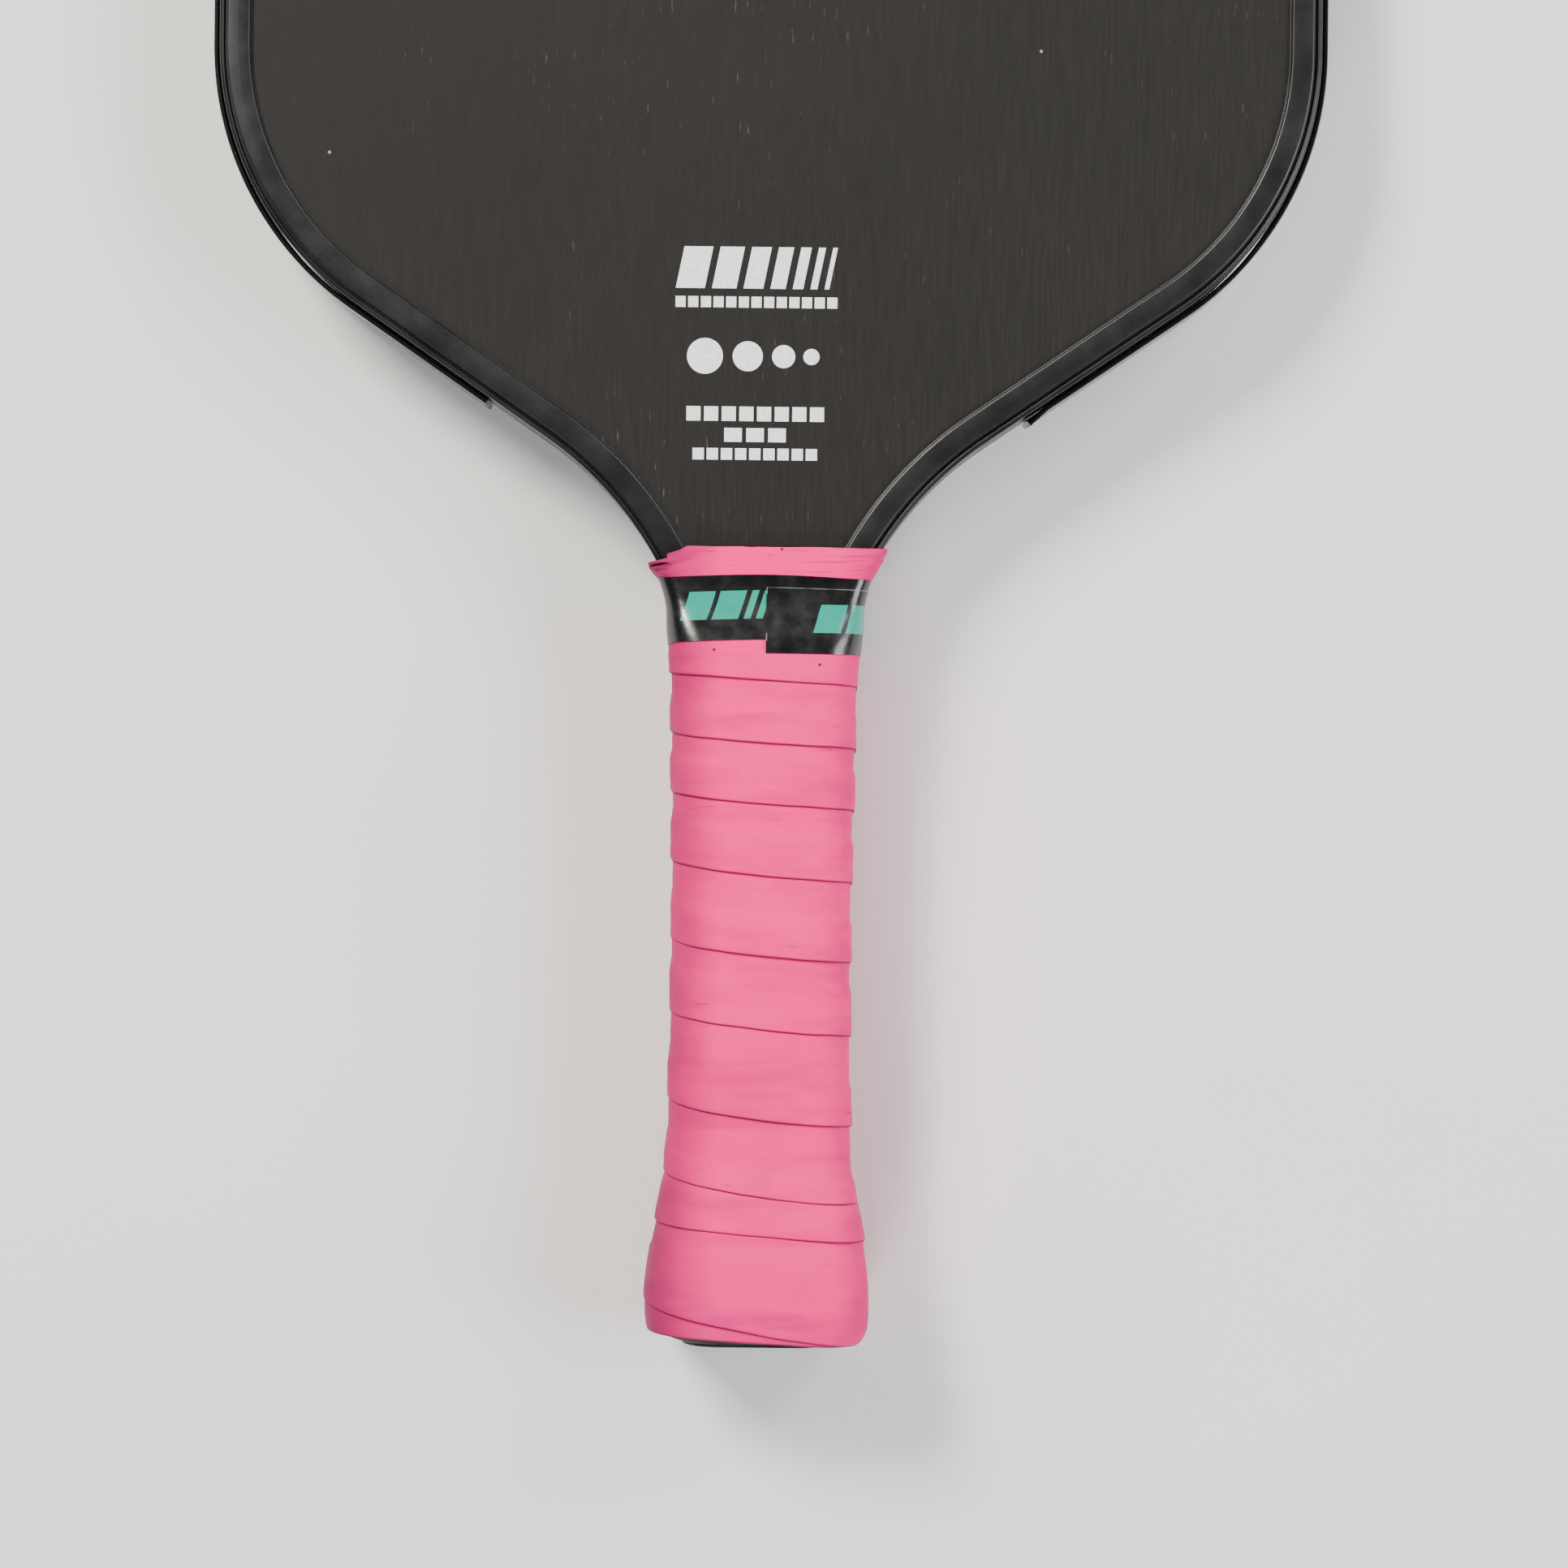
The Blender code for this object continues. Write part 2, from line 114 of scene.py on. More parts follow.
# 1 between two values and 0 outside them, over a soft edge at each
def between(value, low, high, soft):
    tree = value.id_data
    rise = addNode(tree, "MapRange", {"Value": value, "From Min": low, "From Max": low + soft})[0]
    fall = addNode(tree, "MapRange", {"Value": value, "From Min": high, "From Max": high - soft})[0]
    return overlap(rise, fall)


# small round specks, one in a cell of this size at most, kept in this share of the cells
def specks(place, cell, radius, share):
    tree = place.id_data
    cells = addNode(tree, "TexVoronoi", {"Vector": place, "Scale": 1 / cell})
    dot = addNode(tree, "MapRange", {
        "Value": cells["Distance"], "From Min": radius / cell, "From Max": 0.6 * radius / cell})[0]
    pick = addNode(tree, "SeparateColor", {"Color": cells["Color"]})[0]
    kept = addNode(tree, "Math", {0: pick, 1: share}, operation="LESS_THAN")[0]
    return overlap(dot, kept)


# coats of colour over a ground, lowest first, each with the mask that says where it shows
def layered(ground, *coats):
    colour = linearColour(ground)
    for mask, code in coats:
        inputs = {0: mask, 6: colour, 7: linearColour(code)}
        colour = addNode(mask.id_data, "Mix", inputs, data_type="RGBA")[2]
    return colour


# camera, floor and lights

studio = {
    "cameraPlace": (3.7, 97.3, 740.0),  # millimetres, straight above the front face
    "cameraTurn": 0.654,  # degrees about the line of sight
    "lens": 97.3,  # millimetres, on a 36 mm sensor
    "floorColour": "#e4e2de",
    "floorShade": "#dfddd9",
    "floorSize": 6.0,  # metres
    "buttRest": (8.0, -16.35),  # y and z of the point that the flared butt rests on
    "headRest": (415.0, -9.2),  # the same at the head
    "worldColour": "#dfe4ea",
    "worldStrength": 0.17,
    # panels stand round the object and none hangs over it, so that gloss seen from above stays dark
    "lights": (  # name, place in metres, size, watts, colour
        ("keyPanel", (-0.8, 1.05, 1.15), 0.5, 52.0, "#fffaf2"),
        ("headPanel", (0.95, 1.1, 1.0), 0.5, 14.0, "#f7f9ff"),
        ("rightPanel", (1.3, 0.0, 0.95), 0.8, 26.0, "#f9faff"),
        ("buttPanel", (-0.35, -1.3, 1.0), 0.6, 22.0, "#fbfbff"),
    ),
}


def makeStudio():
    camera = bpy.data.objects.new("camera", bpy.data.cameras.new("camera"))
    camera.location = [c * mm for c in studio["cameraPlace"]]
    camera.rotation_euler = (0.0, 0.0, math.radians(studio["cameraTurn"]))
    camera.data.lens = studio["lens"]
    camera.data.sensor_width = 36.0
    camera.data.clip_start = 0.05
    bpy.context.scene.collection.objects.link(camera)
    bpy.context.scene.camera = camera

    (buttY, buttZ), (headY, headZ) = studio["buttRest"], studio["headRest"]
    tilt = math.atan2(headZ - buttZ, headY - buttY)
    bpy.ops.mesh.primitive_plane_add(size=studio["floorSize"])
    floor = bpy.context.object
    floor.name = "floor"
    floor.rotation_euler = (tilt, 0.0, 0.0)
    floor.location = (0.0, 0.0, (buttZ - buttY * math.tan(tilt)) * mm)
    # painted sheet: matt, with a faint mottle so that the shadows have something to fall on
    mat, place = newMaterial("matt painted backdrop", {"Roughness": 0.85})
    mottle = pattern(place, 60.0)
    plug(mat, layered(studio["floorShade"], (mottle, studio["floorColour"])))
    floor.data.materials.append(mat)

    world = bpy.data.worlds.new("studio")
    world.use_nodes = True
    background = world.node_tree.nodes["Background"]
    background.inputs["Color"].default_value = linearColour(studio["worldColour"])
    background.inputs["Strength"].default_value = studio["worldStrength"]
    bpy.context.scene.world = world
    for name, place, size, watts, tint in studio["lights"]:
        lamp = bpy.data.lights.new(name, "AREA")
        lamp.energy, lamp.size, lamp.color = watts, size, linearColour(tint)[:3]
        holder = bpy.data.objects.new(name, lamp)
        holder.location = place
        aim = Vector((0.0, 0.15, 0.0)) - holder.location
        holder.rotation_euler = aim.to_track_quat("-Z", "Y").to_euler()
        bpy.context.scene.collection.objects.link(holder)


makeStudio()
print("studio set")


# turns an edited mesh into an object, smooth up to this angle in degrees, or flat without one
def newPiece(name, bm, sharp=None):
    bmesh.ops.recalc_face_normals(bm, faces=bm.faces)
    mesh = bpy.data.meshes.new(name)
    bm.to_mesh(mesh)
    bm.free()
    if sharp:
        mesh.shade_smooth()
        mesh.set_sharp_from_angle(angle=math.radians(sharp))
    piece = bpy.data.objects.new(name, mesh)
    bpy.context.scene.collection.objects.link(piece)
    return piece


# skins a row of loops of equal length with quads and returns its corners
def skinLoops(bm, loops):
    made = [[bm.verts.new([c * mm for c in p]) for p in loop] for loop in loops]
    for near, far in zip(made, made[1:]):
        for j in range(len(near)):
            k = (j + 1) % len(near)
            bm.faces.new((near[j], near[k], far[k], far[j]))
    return made


# a closed strip; each loop goes out along one side and back along the other, and the two ends
# are capped by quads between the sides; places on the strip go into an attribute
def loftStrip(name, loops, sharp, strip=None):
    bm = bmesh.new()
    made = skinLoops(bm, loops)
    count = len(loops[0])
    for loop in (made[0], made[-1]):
        for j in range(count // 2 - 1):
            bm.faces.new((loop[j], loop[j + 1], loop[count - 2 - j], loop[count - 1 - j]))
    piece = newPiece(name, bm, sharp)
    if strip:
        layer = piece.data.attributes.new("strip", "FLOAT_VECTOR", "POINT")
        layer.data.foreach_set("vector", [c for loop in strip for p in loop for c in p])
    return piece


# a closed body from loops across the handle, with flat ends
def loftRings(name, loops, sharp):
    bm = bmesh.new()
    made = skinLoops(bm, loops)
    bm.faces.new(made[0])
    bm.faces.new(made[-1])
    return newPiece(name, bm, sharp)


# straight-line reading of rows of (place, value, ...), held at both ends
def readRows(rows, place, column=1):
    for low, high in zip(rows, rows[1:]):
        if place <= high[0]:
            share = max(0.0, (place - low[0]) / (high[0] - low[0]))
            return low[column] + (high[column] - low[column]) * share
    return rows[-1][column]


# smooth reading of equally spaced values, which passes through each of them
def readSmooth(values, place):
    place = min(max(place, 0.0), len(values) - 1.001)
    i = int(place)
    t = place - i
    a, b, c, d = (values[min(max(i + k, 0), len(values) - 1)] for k in (-1, 0, 1, 2))
    return 0.5 * (2 * b + (c - a) * t + (2 * a - 5 * b + 4 * c - d) * t * t
                  + (3 * b - a - 3 * c + d) * t ** 3)


def easeStep(low, high, value):
    t = min(max((value - low) / (high - low), 0.0), 1.0)
    return t * t * (3 - 2 * t)


# rounds the corners of a closed profile of (x, y, radius) points
def roundProfile(points, steps=4):
    made = []
    for i, (x, y, radius) in enumerate(points):
        here = Vector((x, y))
        before = Vector(points[i - 1][:2]) - here
        after = Vector(points[(i + 1) % len(points)][:2]) - here
        if radius == 0.0:
            made.append((x, y))
            continue
        half = before.angle(after) / 2
        reach = min(radius / math.tan(half), before.length * 0.49, after.length * 0.49)
        start, end = here + before.normalized() * reach, here + after.normalized() * reach
        for k in range(steps + 1):
            t = k / steps
            made.append(tuple(start.lerp(here, t).lerp(here.lerp(end, t), t)))
    return made


# head outline, on the outer wall of the edge guard

guardLow, guardHigh = (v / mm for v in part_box("edge_guard"))
gripLow, gripHigh = (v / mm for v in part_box("overgrip"))
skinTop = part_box("front_carbon_skin")[1].z / mm

outline = {
    "shoulderAngle": math.radians(34.5),
    "lowCornerRadius": 54.0,
    "lowCornerRise": 86.2,  # top of the grip to the foot of the straight side
    "throatRadius": 62.0,
    "neckHalfWidth": 11.0,  # guard's outer wall where the throat is narrowest
    "topCornerRadius": 62.0,
    "topRadius": 230.0,
    "arcStep": math.radians(1.5),
    "sideStep": 4.0,  # spacing of points along the straight stretches
}


def arcPoints(centre, radius, start, end, side=1):
    steps = max(2, math.ceil(abs(end - start) / outline["arcStep"]))
    angles = [start + (end - start) * i / steps for i in range(steps + 1)]
    return [(centre[0] + radius * math.cos(a), centre[1] + radius * math.sin(a),
             side * math.cos(a), side * math.sin(a)) for a in angles]


# fills a straight stretch between two points that share a normal
def straightPoints(start, end):
    gap = math.hypot(end[0] - start[0], end[1] - start[1])
    steps = max(1, round(gap / outline["sideStep"]))
    return [tuple(a + (b - a) * i / steps for a, b in zip(start, end)) for i in range(1, steps)]


# right half of the guard's path, from the throat at its cut end to the middle of the top edge
def rightHalf():
    angle = outline["shoulderAngle"]
    low, corner, top = outline["lowCornerRadius"], outline["topCornerRadius"], outline["topRadius"]
    lowCentre = (guardHigh.x - low, gripHigh.y + outline["lowCornerRise"])
    shoulder = (lowCentre[0] + low * math.sin(angle), lowCentre[1] - low * math.cos(angle))
    throatX = outline["neckHalfWidth"] + outline["throatRadius"]
    throatY = shoulder[1] + ((throatX - shoulder[0]) * math.sin(angle)
                             - outline["throatRadius"]) / math.cos(angle)
    topY = guardHigh.y - top
    cornerX = guardHigh.x - corner
    cornerY = topY + math.sqrt((top - corner) ** 2 - cornerX ** 2)
    topAngle = math.atan2(cornerY - topY, cornerX)
    startAngle = math.pi - math.asin((guardLow.y - throatY) / outline["throatRadius"])
    throat = arcPoints((throatX, throatY), outline["throatRadius"], startAngle, math.pi / 2 + angle, -1)
    lowCorner = arcPoints(lowCentre, low, angle - math.pi / 2, 0.0)
    topCorner = arcPoints((cornerX, cornerY), corner, 0.0, topAngle)
    crown = arcPoints((0.0, topY), top, topAngle, math.pi / 2)[1:]
    shoulderLine = straightPoints(throat[-1], lowCorner[0])
    sideLine = straightPoints(lowCorner[-1], topCorner[0])
    return throat + shoulderLine + lowCorner + sideLine + topCorner + crown, len(throat)


halfPath, throatCount = rightHalf()
headPath = halfPath + [(-x, y, -nx, ny) for x, y, nx, ny in reversed(halfPath[:-1])]


# distance along a path, in millimetres
def runLengths(path):
    lengths = [0.0]
    for here, there in zip(path, path[1:]):
        lengths.append(lengths[-1] + math.hypot(there[0] - here[0], there[1] - here[1]))
    return lengths


# edge guard

guard = {
    "grooveOuter": 0.8,  # groove between the side wall and the lip, from the outer wall
    "grooveInner": 1.35,
    "grooveDrop": 0.75,
    "lipInner": 5.4,
    "crown": 0.05,  # the lip's middle over its edges
    "lipRound": 0.75,
    "footReach": 0.28,  # thin foot that lies on the face
    "wall": 1.2,
    "sharp": 40.0,  # degrees; edges bent more than this stay crisp
    "colour": "#0b0b0e",
    "patchColour": "#131214",
    "rubColour": "#25241f",
    # painted shade, black, for the corner at the face
    "cornerShadeColour": "#020202",
}


def guardMaterial():
    # moulded thermoplastic polyurethane, satin: a soft wide highlight that breaks into fine scuffs,
    # and painted black shade in the corner where the lip meets the face
    mat, place = newMaterial("moulded satin polyurethane",
                             {"Roughness": 0.34, "IOR": 1.5, "Specular IOR Level": 0.45})
    tree = mat.node_tree
    patch = pattern(place, 9.0, detail=5.0, roughness=0.6)
    rub = pattern(place, 1.6, (1.0, 1.0, 0.3), 6.0, 0.7, (0.62, 0.8))
    # painted shade: black in the corner where the lip meets the face, near the skin's height
    depth = addNode(tree, "SeparateXYZ", {"Vector": place})["Z"]
    depth = addNode(tree, "Math", {0: depth}, operation="ABSOLUTE")[0]
    cornerShade = addNode(tree, "MapRange", {
        "Value": depth, "From Min": skinTop + 0.5, "From Max": skinTop + 0.25})[0]
    colour = layered(guard["colour"], (patch, guard["patchColour"]), (rub, guard["rubColour"]),
                     (cornerShade, guard["cornerShadeColour"]))
    gloss = pattern(place, 9.0, detail=5.0, roughness=0.6, edges=(0.35, 0.65), levels=(0.33, 0.43))
    grain = pattern(place, 0.35, detail=2.0)  # moulding grain of 0.1 mm, coarser here to show
    return plug(mat, colour, gloss, (grain, 0.02, 0.5))


def makeGuard():
    top = guardHigh.z
    low = top - guard["grooveDrop"]
    outer, inner, lip = -guard["grooveOuter"], -guard["grooveInner"], -guard["lipInner"]
    edge, bend, foot = top - guard["crown"], guard["lipRound"], lip - guard["footReach"]
    # upper half of the channel's section: outward from the outer wall, z, corner radius
    upper = [
        (0.0, 0.0, 0.0),
        (0.0, low - 0.2, 0.55),
        (-0.55, low + 0.12, 0.25),
        (outer, low + 0.1, 0.15),
        (outer - 0.12, low - 0.35, 0.12),
        (inner + 0.06, low - 0.35, 0.12),
        (inner, edge, bend),
        ((inner + lip) / 2, top, 1.0),
        (lip, edge, bend),
        (lip + 0.02, skinTop + 0.12, 0.05),
        (foot, skinTop + 0.07, 0.02),
        (foot, skinTop + 0.03, 0.0),
        (-guard["wall"], skinTop + 0.03, 0.0),
    ]
    profile = roundProfile(upper + [(out, -z, radius) for out, z, radius in reversed(upper[1:])])
    loops = []
    for x, y, nx, ny in headPath:
        loops.append([(x + nx * out, y + ny * out, z) for out, z in profile])
    piece = loftStrip("edge_guard_moulding", loops, guard["sharp"])
    piece.data.materials.append(guardMaterial())
    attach(piece, "root")
    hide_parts("edge_guard")


makeGuard()
print("edge guard made")


# protective edge tape

edgeTape = {
    "clearance": 0.28,
    "thickness": 0.92,
    "halfWidth": 6.2,
    "rightEnd": 6.0,  # ends, up the shoulder from the throat
    "leftEnd": 9.0,
    "endRound": 2.6,  # the blunt ends are cut round
    "endShare": 0.62,  # width left at the very end
    "peel": 1.1,  # how far the right end's corner has lifted
    "peelReach": 5.0,
    "wave": 0.12,  # cut edge wavers by this much, and by less over short runs
    "fineWave": 0.05,
    "sharp": 40.0,
    "colour": "#060607",
    "nickColour": "#201f1e",
}


def edgeTapeMaterial():
    # extruded vinyl film, smooth: darker than the guard, with a tighter highlight and small nicks
    mat, place = newMaterial("smooth extruded vinyl", {"Roughness": 0.26, "IOR": 1.52})
    tree = mat.node_tree
    nicks = pattern(place, 2.2, detail=5.0, roughness=0.65, edges=(0.63, 0.78))
    gloss = addNode(tree, "MapRange", {"Value": nicks, "To Min": 0.24, "To Max": 0.5})[0]
    colour = layered(edgeTape["colour"], (nicks, edgeTape["nickColour"]))
    return plug(mat, colour, gloss, (pattern(place, 1.2), 0.04, 0.6))


def makeEdgeTape():
    start, end = throatCount - 1, len(headPath) - throatCount
    path = headPath[start:end + 1]
    lengths = runLengths(path)
    total = lengths[-1] - edgeTape["leftEnd"]
    inside, outside = edgeTape["clearance"], edgeTape["clearance"] + edgeTape["thickness"]
    loops = []
    for (x, y, nx, ny), run in zip(path, lengths):
        if run < edgeTape["rightEnd"] or run > total:
            continue
        fromRight, fromLeft = run - edgeTape["rightEnd"], total - run
        near = min(fromRight, fromLeft, edgeTape["endRound"]) / edgeTape["endRound"]
        rounded = math.sqrt(1 - (1 - near) ** 2)
        height = edgeTape["halfWidth"] * (edgeTape["endShare"] + (1 - edgeTape["endShare"]) * rounded)
        wave = (edgeTape["wave"] * noise.noise(Vector((run / 17, 0.0, 3.0)))
                + edgeTape["fineWave"] * noise.noise(Vector((run / 4, 0.0, 7.0))))
        lift = edgeTape["peel"] * (1 - easeStep(0.0, edgeTape["peelReach"], fromRight))
        # upper half of the section, as for the guard
        half = roundProfile([
            (outside, 0.0, 0.0),
            (outside + 0.02, (height + wave) * 0.6, 0.0),
            (outside, height + wave, 0.22),
            (inside + 0.25, height + wave, 0.15),
            (inside, height + wave - 0.3, 0.1),
            (inside, 0.0, 0.0),
        ])
        profile = half + [(out, -z) for out, z in reversed(half[1:-1])]
        loops.append([(x + nx * (out + lift * max(0.0, z / height) ** 3),
                       y + ny * (out + lift * max(0.0, z / height) ** 3), z) for out, z in profile])
    piece = loftStrip("edge_tape_strip", loops, edgeTape["sharp"])
    piece.data.materials.append(edgeTapeMaterial())
    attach(piece, "root")
    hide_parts("edge_tape")


makeEdgeTape()
print("edge tape made")


# handle sections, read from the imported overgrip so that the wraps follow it

def sectionsOf(node):
    rings = {}
    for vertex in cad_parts[node].data.vertices:
        x, y, z = vertex.co / mm
        rings.setdefault(round(y, 1), []).append((abs(x), abs(z)))
    rows = []
    for height in sorted(rings):
        halfWidth = max(x for x, z in rings[height])
        halfDepth = max(z for x, z in rings[height])
        flat = max(x for x, z in rings[height] if halfDepth - z < 0.02)
        rows.append((height, halfWidth, halfDepth, max(halfWidth - flat, 1.0)))
    return rows


handle = {
    "step": 0.5,  # spacing of the smoothed sections
    "blur": 5,  # sections averaged to each side
    "below": 3.0,  # carried on below the first ring, for the butt's edge
    "crispBelow": 5.0,  # no smoothing up to this height
    "buttRound": 3.6,  # the wrap turns in by this much at the butt's edge
    "roundHeight": 4.5,
}


def smoothSections(rows):
    first, second = rows[0], rows[1]
    gap = handle["below"] / (second[0] - first[0])
    past = tuple(a - (b - a) * gap for a, b in zip(first, second))
    rows = [past] + rows
    count = int((rows[-1][0] - rows[0][0]) / handle["step"])
    heights = [rows[0][0] + handle["step"] * i for i in range(count + 1)]
    raw = [[readRows(rows, y, column) for column in (1, 2, 3)] for y in heights]
    smooth = []
    for i, y in enumerate(heights):
        # the butt's own edge stays crisp
        crisp = max(0, round((y - handle["crispBelow"]) / handle["step"]))
        reach = min(handle["blur"], i, len(raw) - 1 - i, crisp)
        near = raw[i - reach:i + reach + 1]
        smooth.append((y, *(sum(values) / len(near) for values in zip(*near))))
    # below the flare's widest part the wrap turns in on a quarter ellipse
    tall = handle["roundHeight"]
    widest = min(smooth, key=lambda row: abs(row[0] - tall))[1:]
    for i, row in enumerate(smooth):
        y = row[0]
        if y < tall:
            inward = handle["buttRound"] * (1 - math.sqrt(1 - min((tall - y) / tall, 1.0) ** 2))
            smooth[i] = (y, widest[0] - inward, widest[1] - inward, widest[2] - inward * 0.5)
    return smooth


gripSections = smoothSections(sectionsOf("overgrip"))


def sectionAt(height):
    place = (height - gripSections[0][0]) / handle["step"]
    i = int(min(max(place, 0), len(gripSections) - 2))
    t = min(max(place - i, 0.0), 1.0)
    return [a + (b - a) * t for a, b in zip(gripSections[i][1:], gripSections[i + 1][1:])]


# a point and its normal on a rounded rectangle; share runs from the middle of the left side,
# over the front to the middle of the right side at a half, and back behind
def aroundSection(share, halfWidth, halfDepth, radius):
    side, front, bend = halfDepth - radius, halfWidth - radius, radius * math.pi / 2
    runs = (side, bend, 2 * front, bend, 2 * side, bend, 2 * front, bend, side)
    way = share % 1.0 * sum(runs)
    index = 0
    while way > runs[index] and index < 8:
        way -= runs[index]
        index += 1
    turn = math.pi - math.pi / 2 * (index // 2)
    nx, nz = math.cos(turn), math.sin(turn)
    if index % 2 == 0:
        along = way - (0.0 if index == 0 else side if index == 8 else runs[index] / 2)
        return nx * halfWidth + nz * along, nz * halfDepth - nx * along, nx, nz
    angle = turn - way / radius
    signX, signZ = ((-1, 1), (1, 1), (1, -1), (-1, -1))[index // 2]
    nx, nz = math.cos(angle), math.sin(angle)
    return signX * front + radius * nx, signZ * side + radius * nz, nx, nz


# a point on the handle at this turn and height, raised by so many millimetres
def onHandle(turn, height, raised):
    x, z, nx, nz = aroundSection(turn, *sectionAt(height))
    return x + nx * raised, height, z + nz * raised


# overgrip, one strip wound up the handle, each turn over the one below

overgrip = {
    # lower edge of each turn at the left side and at the right side, from the top turn down
    "edges": (116.4, 113.9, 106.8, 103.2, 96.5, 92.6, 84.8, 80.0, 71.2, 66.3, 58.5, 53.5, 43.9, 38.0,
              31.0, 24.8, 22.3, 18.4, 10.0, 0.5, 3.0, 0.5),
    "firstTurn": 10.45,  # where the strip starts, at the butt, counted from the top
    "sag": 0.22,  # how much the edge dips over the front, of its drop there
    "thickness": 0.45,
    "lapLevel": 0.2,  # outside of a lapped turn, against the frame's own surface
    "bareLevel": -0.2,
    "lapShare": 1.5,  # strip width against the rise of a turn
    "fullWidth": 24.0,  # the last turn isn't stretched
    "topEdge": 138.1,
    "stepsPerTurn": 96,
    "across": 34,
    "endSlant": 0.148,  # the cut end slopes back by this share of a turn at its top
    "waver": 0.16,
    "folds": 0.16,  # soft folds over a few turns, and finer ones
    "fineFolds": 0.09,
    "tapeZone": (119.2, 121.0, 131.6, 133.4),  # pressed flat under the finishing tape
    "bandRaise": 0.35,  # the top band stands up past the tape
    "creaseDepth": 0.16,  # creases on the right of the top band
    "creaseFoot": 132.6,
    "endLift": 0.7,  # the cut end stands off
    "edgeRound": 0.5,  # how far in the strip's lower and top edges are rounded
    "topRound": 0.4,
    "sharp": 60.0,
    "tornLong": 0.03,  # raggedness of the cut end, in turns
    "tornFine": 0.018,
    "colour": "#f20070",
    "brightColour": "#ff0878",
    "lowColour": "#ea1470",
    "grimeColour": "#bf1c66",
    # painted shade in soft bands and in hairline creases
    "bandShadeColour": "#c21460",
    "creaseShadeColour": "#8a1c4c",
    # painted shade on the sides
    "sideShadeColour": "#7e1c4c",
    "speckColour": "#5a1830",
    "rubbedColour": "#cc006e",
    # painted shade in the pulled creases
    "pulledCreaseShadeColour": "#a01258",
    # painted shade under each lap's edge
    "lapEdgeShadeColour": "#42182a",
}
perimeter = 100.0  # round the wrapped handle, for the pattern of the folds


# height of the strip's lower edge at a turn; turns count down from the top, whole at the left side
def lowerEdge(turn):
    edges = overgrip["edges"]
    drop = readRows([(i, edges[2 * i] - edges[2 * i + 1]) for i in range(len(edges) // 2)], turn)
    dip = overgrip["sag"] * drop * math.sin(2 * math.pi * (turn - 0.03))
    run = turn * perimeter
    waver = overgrip["waver"] * (noise.noise(Vector((run / 24, 0, 0)))
                                 + 0.5 * noise.noise(Vector((run / 5, 0, 9))))
    if turn < 0:
        return edges[0] + waver
    return max(readSmooth(edges, 2 * turn) - dip + waver, 0.35)


def upperEdge(turn):
    low = lowerEdge(turn)
    if turn <= 0.5:
        return overgrip["topEdge"] + 0.15 * noise.noise(Vector((turn * 14, 2, 0)))
    lapped = low + overgrip["lapShare"] * (lowerEdge(turn - 1) - low)
    full = low + overgrip["fullWidth"]
    high = full + (lapped - full) * easeStep(1.0, 1.5, turn)
    return high if turn < 2 else min(high, lowerEdge(turn - 2) - 0.6)


# how far the strip's outside stands off the frame's surface
def stripLevel(turn, height):
    under = upperEdge(turn + 1) if turn < overgrip["firstTurn"] - 1 else 0.0
    lapped = 1 - easeStep(under - 0.5, under + 1.4, height)
    level = overgrip["bareLevel"] + (overgrip["lapLevel"] - overgrip["bareLevel"]) * lapped
    run = turn * perimeter
    folds = (overgrip["folds"] * noise.noise(Vector((run / 26, height / 7, 1.0)))
             + overgrip["fineFolds"] * noise.noise(Vector((run / 11 + height / 9, height / 2.4, 5.0))))
    a, b, c, d = overgrip["tapeZone"]
    pressed = easeStep(a, b, height) * (1 - easeStep(c, d, height))
    level = (level + folds) * (1 - pressed) - 0.05 * pressed
    if height > c and turn < 1:
        above = easeStep(c, d + 0.6, height)
        wander = 2.2 * noise.noise(Vector((run / 6, height / 3, 4.0)))
        ripple = math.sin(5.2 * (height - overgrip["creaseFoot"]) * (1 - 0.5 * turn) + wander)
        crease = overgrip["creaseDepth"] * easeStep(0.27, 0.42, turn) * ripple
        level += above * (overgrip["bandRaise"] + crease * (1 - easeStep(0.5, 0.62, turn)))
    return level


def makeOvergrip():
    count, thickness = overgrip["across"], overgrip["thickness"]
    rings = round((overgrip["firstTurn"] + 0.02) * overgrip["stepsPerTurn"])
    loops, strip = [], []
    for i in range(rings + 1):
        turn = -0.02 + i / overgrip["stepsPerTurn"]
        low, high = lowerEdge(turn), upperEdge(turn)
        width = high - low
        # rows lie closer at the lower edge, which is seen
        ups = [0.0, 0.12, 0.3, 0.6, 1.0]
        ups += [1.0 + (width - 1.0) * (k + 1) / (count - 5) for k in range(count - 5)]
        outer, inner, outerStrip = [], [], []
        for up in ups:
            height = low + up
            slant = overgrip["endSlant"] * easeStep(132.2, 137.6, height)
            torn = (overgrip["tornLong"] * noise.noise(Vector((up * 1.1, 0, 8.0)))
                    + overgrip["tornFine"] * noise.noise(Vector((up * 3.3, 0, 2.0))))
            place = turn + (slant + torn) * (1 - easeStep(-0.02, 0.3, turn))
            level = stripLevel(place, height)
            endLift = easeStep(131.5, 134.5, height) * (1 - easeStep(-0.02, 0.05, turn))
            endLift *= overgrip["endLift"]
            edge = max(1 - up / overgrip["edgeRound"], 1 - (width - up) / overgrip["topRound"])
            rounding = 0.6 * thickness * (1 - math.sqrt(1 - min(max(edge, 0.0), 1.0) ** 2))
            outer.append(onHandle(place, height, level + endLift - rounding))
            inner.append(onHandle(place, height, level + endLift - thickness))
            outerStrip.append((turn * perimeter, up, width))
        loops.append(outer + inner[::-1])
        strip.append(outerStrip + outerStrip[::-1])
    piece = loftStrip("overgrip_winding", loops, overgrip["sharp"], strip)
    piece.data.materials.append(overgripMaterial())
    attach(piece, "root")
    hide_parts("overgrip")


